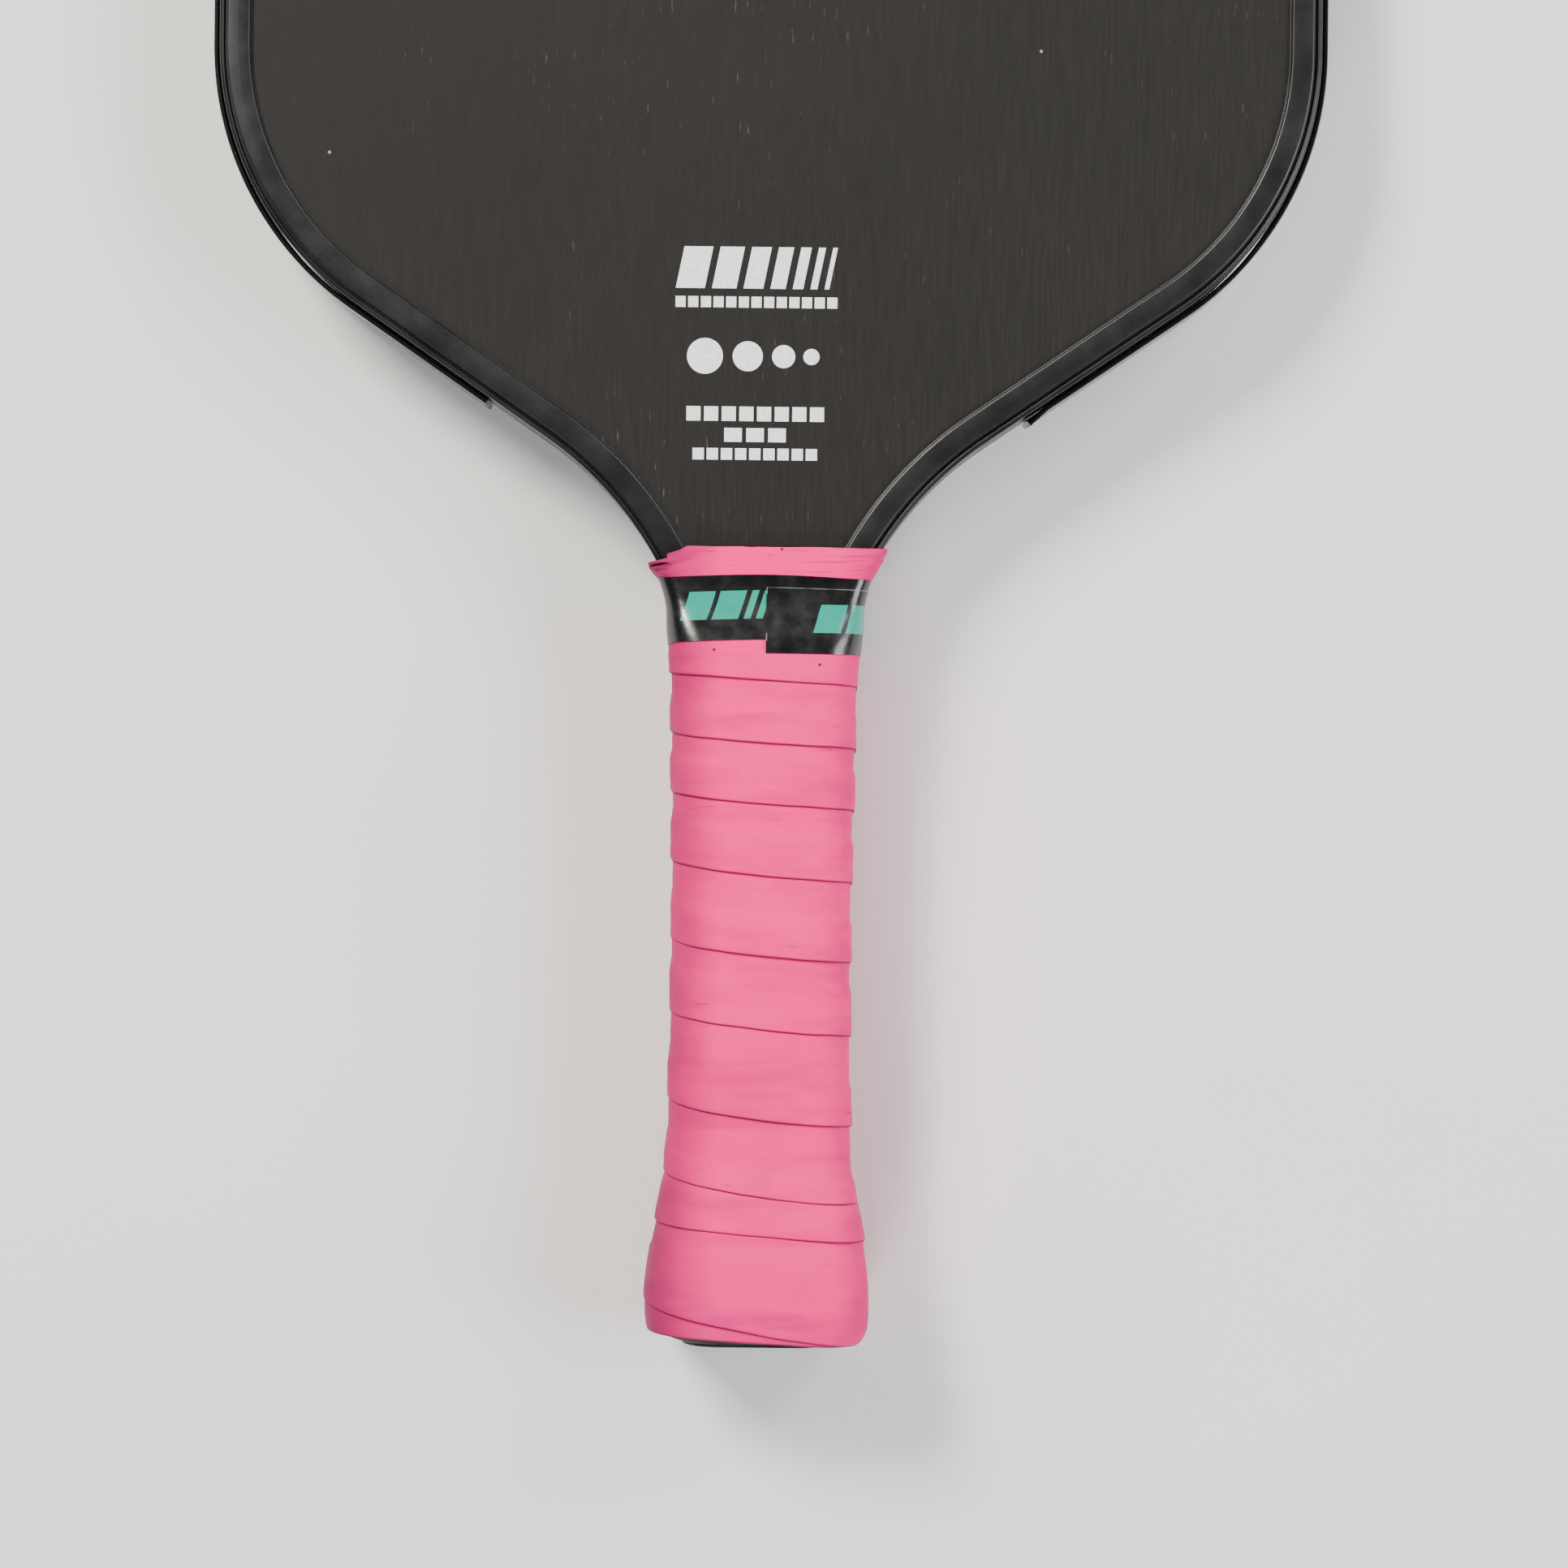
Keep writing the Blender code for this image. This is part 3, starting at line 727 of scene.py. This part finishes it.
def overgripMaterial():
    # coated polyurethane, tacky and matt: even soft light with hardly any gloss, with painted shade at
    # the sides, in soft bands, in creases and under each lap's edge, and rubbed through at the butt
    mat, place = newMaterial("tacky coated polyurethane", {
        "Roughness": 0.6, "IOR": 1.48, "Specular IOR Level": 0.08,
        "Sheen Weight": 0.04, "Sheen Roughness": 0.5})
    tree = mat.node_tree
    axes = addNode(tree, "SeparateXYZ", {"Vector": place})
    strip = addNode(tree, "Attribute", {}, attribute_name="strip")["Vector"]
    above = addNode(tree, "SeparateXYZ", {"Vector": strip})["Y"]  # over the lap's lower edge
    lowDown = addNode(tree, "MapRange", {
        "Value": axes["Y"], "From Min": 60.0, "From Max": 10.0, "To Max": 0.55})[0]
    grime = pattern(place, 9.0, detail=6.0, roughness=0.65, edges=(0.5, 0.75), levels=(0.0, 0.3))
    # painted shade in soft bands along the turns, about 4 mm high, and in hairline creases of about 0.3
    # mm
    bandShade = pattern(place, 4.0, (0.16, 1.0, 0.16), 3.0, 0.45, (0.5, 0.72), (0.0, 0.55))
    creaseShade = overlap(pattern(place, 1.0, (0.14, 1.0, 0.14), 2.0, 0.4, (0.68, 0.75)),
                    pattern(place, 14.0, detail=2.0, edges=(0.48, 0.6), levels=(0.0, 0.5)))
    # painted shade on the sides, with a wandering border
    border = pattern(place, 12.0, levels=(0.0, 6.0))
    sideways = addNode(tree, "Math", {0: axes["X"], 1: border}, operation="ADD")[0]
    left = addNode(tree, "MapRange", {
        "Value": sideways, "From Min": -4.0, "From Max": -15.0, "To Max": 0.9})[0]
    right = addNode(tree, "MapRange", {
        "Value": sideways, "From Min": 16.0, "From Max": 24.0, "To Max": 0.5})[0]
    sideShade = addNode(tree, "Math", {0: left, 1: right}, operation="MAXIMUM")[0]
    # rubbed through across the front of the flare
    rubbed = overlap(pattern(place, 2.4, (0.35, 1.0, 1.0), 5.0, 0.6, (0.42, 0.62), (0.0, 0.85)),
                     between(axes["Y"], 2.6, 7.6, 2.0), between(axes["X"], -14.0, 12.0, 5.0),
                     between(axes["Z"], 6.0, 40.0, 3.0))
    # painted shade in creases where the free end is pulled tight, on the right of the top band
    pulledCreaseShade = overlap(pattern(place, 0.8, (0.07, 1.0, 0.1), 2.0, 0.4, (0.56, 0.66), (0.0, 0.6)),
                     between(axes["Y"], 133.0, 150.0, 1.2), between(axes["X"], 0.0, 60.0, 14.0))
    # painted shade along the lower edge of each turn, where it laps over the turn below
    lapEdgeShade = addNode(tree, "MapRange", {
        "Value": above, "From Min": 0.4, "From Max": 0.1, "To Max": 0.9})[0]
    colour = layered(
        overgrip["colour"],
        (pattern(place, 16.0, detail=4.0), overgrip["brightColour"]),
        (lowDown, overgrip["lowColour"]),
        (grime, overgrip["grimeColour"]),
        (bandShade, overgrip["bandShadeColour"]),
        (creaseShade, overgrip["creaseShadeColour"]),
        (sideShade, overgrip["sideShadeColour"]),
        (specks(place, 9.0, 0.32, 0.4), overgrip["speckColour"]),
        (rubbed, overgrip["rubbedColour"]),
        (pulledCreaseShade, overgrip["pulledCreaseShadeColour"]),
        (lapEdgeShade, overgrip["lapEdgeShadeColour"]),
    )
    gloss = pattern(place, 5.0, detail=4.0, edges=(0.3, 0.7), levels=(0.52, 0.68))
    # leather-like grain of about 0.25 mm, coarser here to show, over soft creases of 2 to 3 mm
    grain = pattern(place, 0.45, detail=3.0, roughness=0.6, levels=(0.0, 0.12))
    crease = pattern(place, 3.0, (0.45, 1.6, 1.0), 4.0, 0.55)
    height = addNode(tree, "Math", {0: grain, 1: crease}, operation="ADD")[0]
    return plug(mat, colour, gloss, (height, 0.16, 0.55))


makeOvergrip()
print("overgrip wound")


# finishing tape, one strip round the top of the overgrip and on over its own end

finishingTape = {
    "start": 0.253,  # share of a turn where the outer end lies, on the front
    "length": 1.36,  # in turns
    "lower": (119.7, 119.6, 119.9, 121.0, 122.1, 122.3, 122.3),  # every quarter turn
    "upper": (131.2, 130.7, 131.2, 132.2, 133.3, 132.1, 131.6),
    "thickness": 0.14,
    "level": 0.13,  # outside of the single layer, over the frame's surface
    "lapDrop": (0.36, 0.42),  # turns from the outer end, where the two layers become one
    "crinkle": 0.06,
    "endLift": 0.05,
    "sharp": 60.0,
    "stepsPerTurn": 160,
    "across": 16,
    "printStart": 7.5,  # along the strip, in the strip's own millimetres
    "printRepeat": 26.15,
    "printLow": 3.6,  # above the strip's lower edge
    "printHigh": 8.6,
    "printLean": 0.3,  # sideways for each millimetre up
    "printBars": ((0.0, 4.4), (5.1, 9.5), (10.3, 11.5), (12.3, 13.5), (14.3, 15.5)),
    "colour": "#040405",
    "printColour": "#008c78",
    # painted highlight along the cut edge
    "edgeHighlightColour": "#8c8c8e",
}


def tapeMaterial():
    # glossy printed vinyl: black and mirror-like, so that it shows small sharp highlights,
    # with a repeated mint print of plain slanted bars and a painted pale highlight on the cut edge
    mat, place = newMaterial("glossy printed vinyl", {
        "Roughness": 0.22, "IOR": 1.54, "Coat Weight": 0.15, "Coat Roughness": 0.08})
    tree = mat.node_tree
    strip = addNode(tree, "Attribute", {}, attribute_name="strip")["Vector"]
    along, up, fromTop = addNode(tree, "SeparateXYZ", {"Vector": strip}).values()
    low, high = finishingTape["printLow"], finishingTape["printHigh"]
    # slanted and wrapped, so that one set of bars repeats along the strip
    start, lean = finishingTape["printStart"], finishingTape["printLean"]
    slant = addNode(tree, "MapRange", {
        "Value": up, "From Min": low, "From Max": low + 1.0, "To Min": start,
        "To Max": start + lean}, clamp=False)[0]
    slanted = addNode(tree, "Math", {0: along, 1: slant}, operation="SUBTRACT")[0]
    repeat = finishingTape["printRepeat"]
    slanted = addNode(tree, "Math", {0: slanted, 1: repeat, 2: 0.0}, operation="WRAP")[0]
    bars = 0.0
    for left, right in finishingTape["printBars"]:
        bar = between(slanted, left, right, 0.08)
        bars = addNode(tree, "Math", {0: bars, 1: bar}, operation="MAXIMUM")[0]
    kept = pattern(place, 1.5, detail=5.0, roughness=0.7, edges=(0.74, 0.66))
    ink = overlap(bars, between(up, low, high, 0.08), kept)
    # painted highlight on the cut edge, along the outer lap's top and, in places, at its end
    top = addNode(tree, "MapRange", {"Value": fromTop, "From Min": 0.2, "From Max": 0.08})[0]
    outer = addNode(tree, "MapRange", {"Value": along, "From Min": 46.0, "From Max": 34.0})[0]
    top = overlap(top, outer, pattern(place, 3.0, edges=(0.35, 0.6), levels=(0.15, 0.6)))
    end = addNode(tree, "MapRange", {"Value": along, "From Min": 0.22, "From Max": 0.1})[0]
    end = overlap(end, pattern(place, 1.6, edges=(0.5, 0.6), levels=(0.0, 0.6)))
    edge = addNode(tree, "Math", {0: top, 1: end}, operation="MAXIMUM")[0]
    colour = layered(finishingTape["colour"], (ink, finishingTape["printColour"]),
                     (edge, finishingTape["edgeHighlightColour"]))
    gloss = pattern(place, 3.0, detail=4.0, edges=(0.3, 0.7), levels=(0.22, 0.36))
    crinkle = pattern(place, 2.6, (0.8, 1.3, 1.0), 4.0, 0.6)
    return plug(mat, colour, gloss, (crinkle, 0.07, 0.6))


def makeFinishingTape():
    count, thickness = finishingTape["across"], finishingTape["thickness"]
    steps = round(finishingTape["length"] * finishingTape["stepsPerTurn"])
    loops, strip = [], []
    for i in range(steps + 1):
        wound = i / finishingTape["stepsPerTurn"]
        turn = finishingTape["start"] + wound
        low = readSmooth(finishingTape["lower"], 4 * wound)
        high = readSmooth(finishingTape["upper"], 4 * wound)
        level = finishingTape["level"]
        level += (thickness + 0.02) * (1 - easeStep(*finishingTape["lapDrop"], wound))
        outer, inner, place = [], [], []
        for k in range(count):
            up = (high - low) * k / (count - 1)
            height = low + up
            crinkle = finishingTape["crinkle"] * noise.noise(Vector((turn % 1.0 * 26, height / 4.2, 0.5)))
            lift = finishingTape["endLift"] * (1 - easeStep(0.0, 0.012, wound))
            raised = level + crinkle + lift
            outer.append(onHandle(turn, height, raised))
            inner.append(onHandle(turn, height, raised - thickness))
            place.append((wound * perimeter, up, high - low - up))
        loops.append(outer + inner[::-1])
        strip.append(place + place[::-1])
    piece = loftStrip("finishing_tape_winding", loops, finishingTape["sharp"], strip)
    piece.data.materials.append(tapeMaterial())
    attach(piece, "root")
    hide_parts("finishing_tape")


makeFinishingTape()
print("finishing tape wound")


# butt cap and its label, loops from the label's recess round the edge, up the skirt and down inside

buttCap = {
    "edgeRound": 0.9,
    "edgeFlat": 0.6,  # the rounding is this much shorter up the skirt
    "edgeSteps": 4,
    "stepsRound": 96,
    "sharp": 40.0,
    "wall": 1.8,
    "floor": 2.5,
    "underWrap": 1.15,  # the skirt stays this far inside the overgrip's outside
    "labelInset": 2.0,
    "labelGap": 0.2,
    "slotGap": 0.2,
    "colour": "#040405",
    "patchColour": "#08080a",
    "labelColour": "#2c2d31",
    "labelPatchColour": "#33343a",
    "labelInkColour": "#c9c9c6",
}


def sectionLoop(size, height, steps):
    return [(p[0], height, p[1]) for p in (aroundSection(i / steps, *size) for i in range(steps))]


def grown(size, by):
    return [max(value + by, 0.4) for value in size]


def capMaterial():
    # injection-moulded nylon, fine spark-eroded texture: near black with a dull, even highlight
    mat, place = newMaterial("moulded textured nylon",
                             {"Roughness": 0.5, "IOR": 1.53, "Specular IOR Level": 0.12})
    patch = pattern(place, 6.0, detail=4.0)
    colour = layered(buttCap["colour"], (patch, buttCap["patchColour"]))
    gloss = pattern(place, 4.0, edges=(0.3, 0.7), levels=(0.45, 0.6))
    return plug(mat, colour, gloss, (pattern(place, 0.3, detail=2.0), 0.03, 0.6))


def labelMaterial():
    # printed vinyl label: charcoal with a plain pale ring and dot
    mat, place = newMaterial("printed vinyl label", {"Roughness": 0.35, "IOR": 1.52})
    tree = mat.node_tree
    flat = addNode(tree, "VectorMath", {0: place, 1: (1.0, 0.0, 1.0)}, operation="MULTIPLY")[0]
    radius = addNode(tree, "VectorMath", {0: flat}, operation="LENGTH")["Value"]
    ring = between(radius, 4.0, 5.0, 0.1)
    dot = between(radius, -1.0, 1.6, 0.1)
    mark = addNode(tree, "Math", {0: ring, 1: dot}, operation="MAXIMUM")[0]
    patch = pattern(place, 3.0)
    colour = layered(buttCap["labelColour"], (patch, buttCap["labelPatchColour"]),
                     (mark, buttCap["labelInkColour"]))
    return plug(mat, colour, None, (pattern(place, 0.5, detail=2.0), 0.02, 0.5))


def makeButtCap():
    rows = sectionsOf("butt_cap")
    steps = buttCap["stepsRound"]
    top = rows[-1][0]
    end = list(rows[0][1:])
    labelSize = grown(end, -buttCap["labelInset"])
    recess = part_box("butt_label")[1].y / mm + buttCap["labelGap"]
    bend = buttCap["edgeRound"]
    loops = [sectionLoop(labelSize, recess, steps), sectionLoop(labelSize, 0.0, steps)]
    for k in range(buttCap["edgeSteps"] + 1):
        angle = math.pi / 2 * k / buttCap["edgeSteps"]
        size = grown(end, -bend * (1 - math.sin(angle)))
        loops.append(sectionLoop(size, bend * (1 - math.cos(angle)) * buttCap["edgeFlat"], steps))
    heights = [bend + 0.5 * i for i in range(1, int((top - bend) / 0.5))] + [top]
    for height in heights:
        size = [readRows(rows, height, column) for column in (1, 2, 3)]
        wrapped = grown(sectionAt(height), -buttCap["underWrap"])
        size = [min(pair) for pair in zip(grown(size, -0.02), wrapped)]
        loops.append(sectionLoop(size, height, steps))
    bore = grown([readRows(rows, top, column) for column in (1, 2, 3)], -buttCap["wall"])
    loops += [sectionLoop(bore, top, steps), sectionLoop(bore, buttCap["floor"], steps)]
    piece = loftRings("butt_cap_moulding", loops, buttCap["sharp"])
    for node in ("cap_staple_front", "cap_staple_back"):
        cutSlot(piece, node)
    piece.data.materials.append(capMaterial())
    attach(piece, "root")
    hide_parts("butt_cap")

    sticker = grown(labelSize, -buttCap["labelGap"])
    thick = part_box("butt_label")[1].y / mm
    loops = [sectionLoop(grown(sticker, -0.1), 0.02, steps), sectionLoop(sticker, 0.12, steps),
             sectionLoop(sticker, thick, steps)]
    label = loftRings("butt_label_disc", loops, buttCap["sharp"])
    label.data.materials.append(labelMaterial())
    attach(label, "root")
    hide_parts("butt_label")


# a slot through the cap's skirt that clears a staple
def cutSlot(piece, node):
    low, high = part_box(node)
    gap = buttCap["slotGap"] * mm
    low, high = low - Vector((gap, gap, gap)), high + Vector((gap, gap, gap))
    bpy.ops.mesh.primitive_cube_add(size=1.0, location=(low + high) / 2)
    cutter = bpy.context.object
    cutter.scale = high - low
    change = piece.modifiers.new("slot", "BOOLEAN")
    change.operation, change.solver, change.object = "DIFFERENCE", "EXACT", cutter
    bpy.context.view_layer.update()
    depsgraph = bpy.context.evaluated_depsgraph_get()
    cutMesh = bpy.data.meshes.new_from_object(piece.evaluated_get(depsgraph))
    piece.modifiers.clear()
    piece.data = cutMesh
    bpy.data.objects.remove(cutter)


makeButtCap()
print("butt cap made")


# printed marks on the face, plain bars, dashes and dots

facePrint = {
    "middle": -2.0,  # the print sits a little left of the middle
    "thickness": 0.02,
    "lean": 0.2,  # sideways per millimetre of height, for the slanted shapes
    "barWidths": (5.0, 4.2, 3.4, 2.6, 1.8, 1.2, 0.8),  # slanted bars, left to right
    "barGap": 1.25,
    "barLow": 182.8,
    "barHeight": 7.2,
    "dashGap": 0.2,  # between dashes, as a share of their spacing
    "rows": (  # rows of dashes: low y, whole width, height, dashes
        (179.5, 28.4, 1.9, 13), (159.9, 24.4, 2.5, 8), (156.3, 11.4, 2.4, 3), (153.2, 22.0, 2.0, 9),
    ),
    # x, y, radius
    "discs": ((-8.8, 171.1, 3.1), (-1.4, 171.1, 2.6), (4.8, 171.1, 2.0), (9.6, 171.1, 1.4)),
    "colour": "#e6e6e8",
    "thinColour": "#cfcfcf",
}


def inkMaterial():
    # screen-printed white ink: matt, thin enough for the cloth texture below to show in it
    mat, place = newMaterial("screen-printed ink", {"Roughness": 0.55, "IOR": 1.5})
    thin = pattern(place, 0.6, detail=4.0, roughness=0.6, edges=(0.35, 0.7))
    colour = layered(facePrint["colour"], (thin, facePrint["thinColour"]))
    return plug(mat, colour, None, (pattern(place, 0.5), 0.04, 0.6))


def makeFacePrint():
    shapes = []
    widths, y, height = facePrint["barWidths"], facePrint["barLow"], facePrint["barHeight"]
    push = facePrint["lean"] * height
    left = -(sum(widths) + facePrint["barGap"] * (len(widths) - 1) + push) / 2
    for width in widths:
        top = y + height
        shapes.append([(left, y), (left + width, y), (left + width + push, top), (left + push, top)])
        left += width + facePrint["barGap"]
    for y, width, height, dashes in facePrint["rows"]:
        pitch = width / dashes
        for i in range(dashes):
            left = -width / 2 + pitch * (i + facePrint["dashGap"] / 2)
            right = left + pitch * (1 - facePrint["dashGap"])
            shapes.append([(left, y), (right, y), (right, y + height), (left, y + height)])
    for x, y, radius in facePrint["discs"]:
        corners = [math.radians(angle) for angle in range(0, 360, 9)]
        shapes.append([(x + radius * math.cos(a), y + radius * math.sin(a)) for a in corners])
    bm = bmesh.new()
    low = skinTop + 0.01
    for shape in shapes:
        rings = []
        for z in (low, low + facePrint["thickness"]):
            corners = [(x + facePrint["middle"], y, z) for x, y in shape]
            rings.append([bm.verts.new([c * mm for c in corner]) for corner in corners])
        bm.faces.new(rings[0][::-1])
        bm.faces.new(rings[1])
        for j in range(len(shape)):
            k = (j + 1) % len(shape)
            bm.faces.new((rings[0][j], rings[0][k], rings[1][k], rings[1][j]))
    piece = newPiece("face_print", bm)
    piece.data.materials.append(inkMaterial())
    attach(piece, "root")


makeFacePrint()
print("face print made")


# finishes for the pieces whose frame shape is kept

def finishNodes(mat, *names):
    for name in names:
        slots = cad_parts[name].data.materials
        slots.clear()
        slots.append(mat)


carbon = {
    "colour": "#151411",
    "paleColour": "#1b1916",
    "brushedColour": "#37342c",
    "scuffColour": "#5f5a49",
    "speckColour": "#8c8676",
    "cloth": 0.45,  # peel-ply thread spacing, 0.2 mm; coarser here so that it shows
}


def carbonMaterial():
    # raw carbon laminate, moulded under peel ply: a dull warm grey with a cloth-like tooth
    # that glints faintly, light scuffs along its length, and a few resin specks
    mat, place = newMaterial("peel-ply textured carbon laminate",
                             {"Roughness": 0.62, "IOR": 1.5, "Specular IOR Level": 0.2})
    tree = mat.node_tree
    brushed = pattern(place, 0.45, (1.0, 0.05, 1.0), 5.0, 0.65, (0.45, 0.8), (0.0, 0.22))
    scuffs = overlap(pattern(place, 0.5, (1.0, 0.12, 1.0), 2.0, 0.4, (0.68, 0.76)),
                     pattern(place, 22.0, detail=2.0, edges=(0.45, 0.62), levels=(0.0, 0.42)))
    colour = layered(
        carbon["colour"],
        (pattern(place, 45.0), carbon["paleColour"]),
        (brushed, carbon["brushedColour"]),
        (scuffs, carbon["scuffColour"]),
        (specks(place, 11.0, 0.33, 0.3), carbon["speckColour"]),
    )
    gloss = pattern(place, 0.45, (1.0, 0.05, 1.0), 5.0, 0.65, (0.3, 0.7), (0.5, 0.68))
    # threads both ways, one wave for each thread, with grit over them
    turns = 2 * math.pi / carbon["cloth"]
    spun = addNode(tree, "VectorMath", {0: place, "Scale": turns}, operation="SCALE")[0]
    spun = addNode(tree, "VectorMath", {0: spun}, operation="SINE")[0]
    waves = addNode(tree, "SeparateXYZ", {"Vector": spun})
    weave = overlap(waves["X"], waves["Y"], 0.35)  # height of the weave against the grit
    grit = pattern(place, 0.5, detail=4.0, roughness=0.7)
    tooth = addNode(tree, "Math", {0: weave, 1: grit}, operation="ADD")[0]
    return plug(mat, colour, gloss, (tooth, 0.05, 0.6))


# woven sheets: material, thread colours, gap colour, thread length and width, gap, roughness, bump
weaves = {
    "glass": ("resin-wetted glass cloth", "#d9dccb", "#cfd3c0", "#a9ad98", 1.2, 0.6, 0.08, 0.45, -0.05),
    "cotton": ("woven cotton tape", "#262626", "#1d1d1d", "#0c0c0c", 1.0, 0.5, 0.06, 0.75, -0.1),
}


def wovenMaterial(name, first, second, gap, long, wide, gapWidth, roughness, depth):
    # crossing threads, pale and clear where glass lies in resin, dull and fuzzy where it is cotton
    mat, place = newMaterial(name, {"Roughness": roughness, "IOR": 1.52})
    tree = mat.node_tree
    threads = addNode(tree, "TexBrick", {
        "Vector": place, "Scale": 1.0, "Color1": linearColour(first), "Color2": linearColour(second),
        "Mortar": linearColour(gap), "Mortar Size": gapWidth, "Brick Width": long,
        "Row Height": wide}, offset=0.5)
    return plug(mat, threads["Color"], None, (threads["Fac"], depth, 0.65))


# foams differ in their bead or cell size, and in colour and gloss
foams = (
    # node names, material name, dark, light, cell size, roughness, bump depth
    (("foam_core",), "steam-moulded expanded polypropylene", "#b9b8b0", "#e2e1db", 3.2, 0.82, 0.3),
    (("core_ring",), "closed-cell cross-linked foam", "#1c1c1f", "#2b2b2e", 0.5, 0.85, 0.1),
    (("rim_wall", "handle_tongue"), "cast polyurethane foam", "#b08a55", "#d0ae78", 0.35, 0.7, 0.06),
)


def foamMaterial(name, dark, light, cell, roughness, depth):
    # cellular foam: each bead or cell catches the light by itself, with darker lines between
    mat, place = newMaterial(name, {"Roughness": roughness, "IOR": 1.49})
    tree = mat.node_tree
    cells = addNode(tree, "TexVoronoi", {"Vector": place, "Scale": 1 / cell},
                    feature="DISTANCE_TO_EDGE")["Distance"]
    inside = addNode(tree, "MapRange", {"Value": cells, "From Max": 0.12})[0]
    swell = addNode(tree, "MapRange", {"Value": cells, "From Max": 0.3})[0]
    return plug(mat, layered(dark, (inside, light)), None, (swell, depth, 0.8))


shell = {
    "colour": "#37383a",
    "flowColour": "#424345",
}


def shellMaterial():
    # moulded ABS: dark grey, even and slightly waxy, with faint flow marks along the handle
    mat, place = newMaterial("moulded ABS", {"Roughness": 0.5, "IOR": 1.53})
    flow = pattern(place, 3.0, (1.0, 0.12, 1.0), 4.0)
    gloss = pattern(place, 3.0, (1.0, 0.12, 1.0), 4.0, edges=(0.3, 0.7), levels=(0.44, 0.56))
    colour = layered(shell["colour"], (flow, shell["flowColour"]))
    return plug(mat, colour, gloss, (pattern(place, 0.4, detail=2.0), 0.03, 0.5))


staple = {
    "colour": "#a9abae",
    "lineColour": "#cfd0d2",
}


def stapleMaterial():
    # galvanised steel wire, drawn: bright, with fine lines along the wire
    mat, place = newMaterial("drawn galvanised steel", {"Roughness": 0.3, "Metallic": 1.0})
    lines = pattern(place, 0.12, (0.1, 1.0, 1.0))
    gloss = pattern(place, 0.12, (0.1, 1.0, 1.0), edges=(0.3, 0.7), levels=(0.22, 0.4))
    colour = layered(staple["colour"], (lines, staple["lineColour"]))
    return plug(mat, colour, gloss, (lines, 0.01, 0.4))


baseGrip = {
    "colour": "#050505",
    "skinColour": "#232324",
    "holeSpacing": 4.0,  # millimetres
}


def baseGripMaterial():
    # cushioned synthetic leather, perforated: matt black with rows of 0.8 mm holes
    mat, place = newMaterial("perforated synthetic leather", {"Roughness": 0.65, "IOR": 1.5})
    tree = mat.node_tree
    holes = addNode(tree, "TexVoronoi", {
        "Vector": place, "Scale": 1 / baseGrip["holeSpacing"], "Randomness": 0.0})["Distance"]
    skin = addNode(tree, "MapRange", {"Value": holes, "From Min": 0.08, "From Max": 0.12})[0]
    grain = pattern(place, 0.7, detail=4.0, roughness=0.6, levels=(0.0, 0.25))
    height = addNode(tree, "Math", {0: skin, 1: grain}, operation="ADD")[0]
    colour = layered(baseGrip["colour"], (skin, baseGrip["skinColour"]))
    return plug(mat, colour, None, (height, 0.3, 0.6))


finishNodes(carbonMaterial(), "front_carbon_skin", "back_carbon_skin")
finishNodes(wovenMaterial(*weaves["glass"]), "front_glass_ply", "back_glass_ply")
for names, *look in foams:
    finishNodes(foamMaterial(*look), *names)
finishNodes(shellMaterial(), "front_handle_shell", "back_handle_shell")
finishNodes(stapleMaterial(), "cap_staple_front", "cap_staple_back")
finishNodes(baseGripMaterial(), "base_grip")
finishNodes(wovenMaterial(*weaves["cotton"]), "base_grip_tape")
print("frame pieces finished")
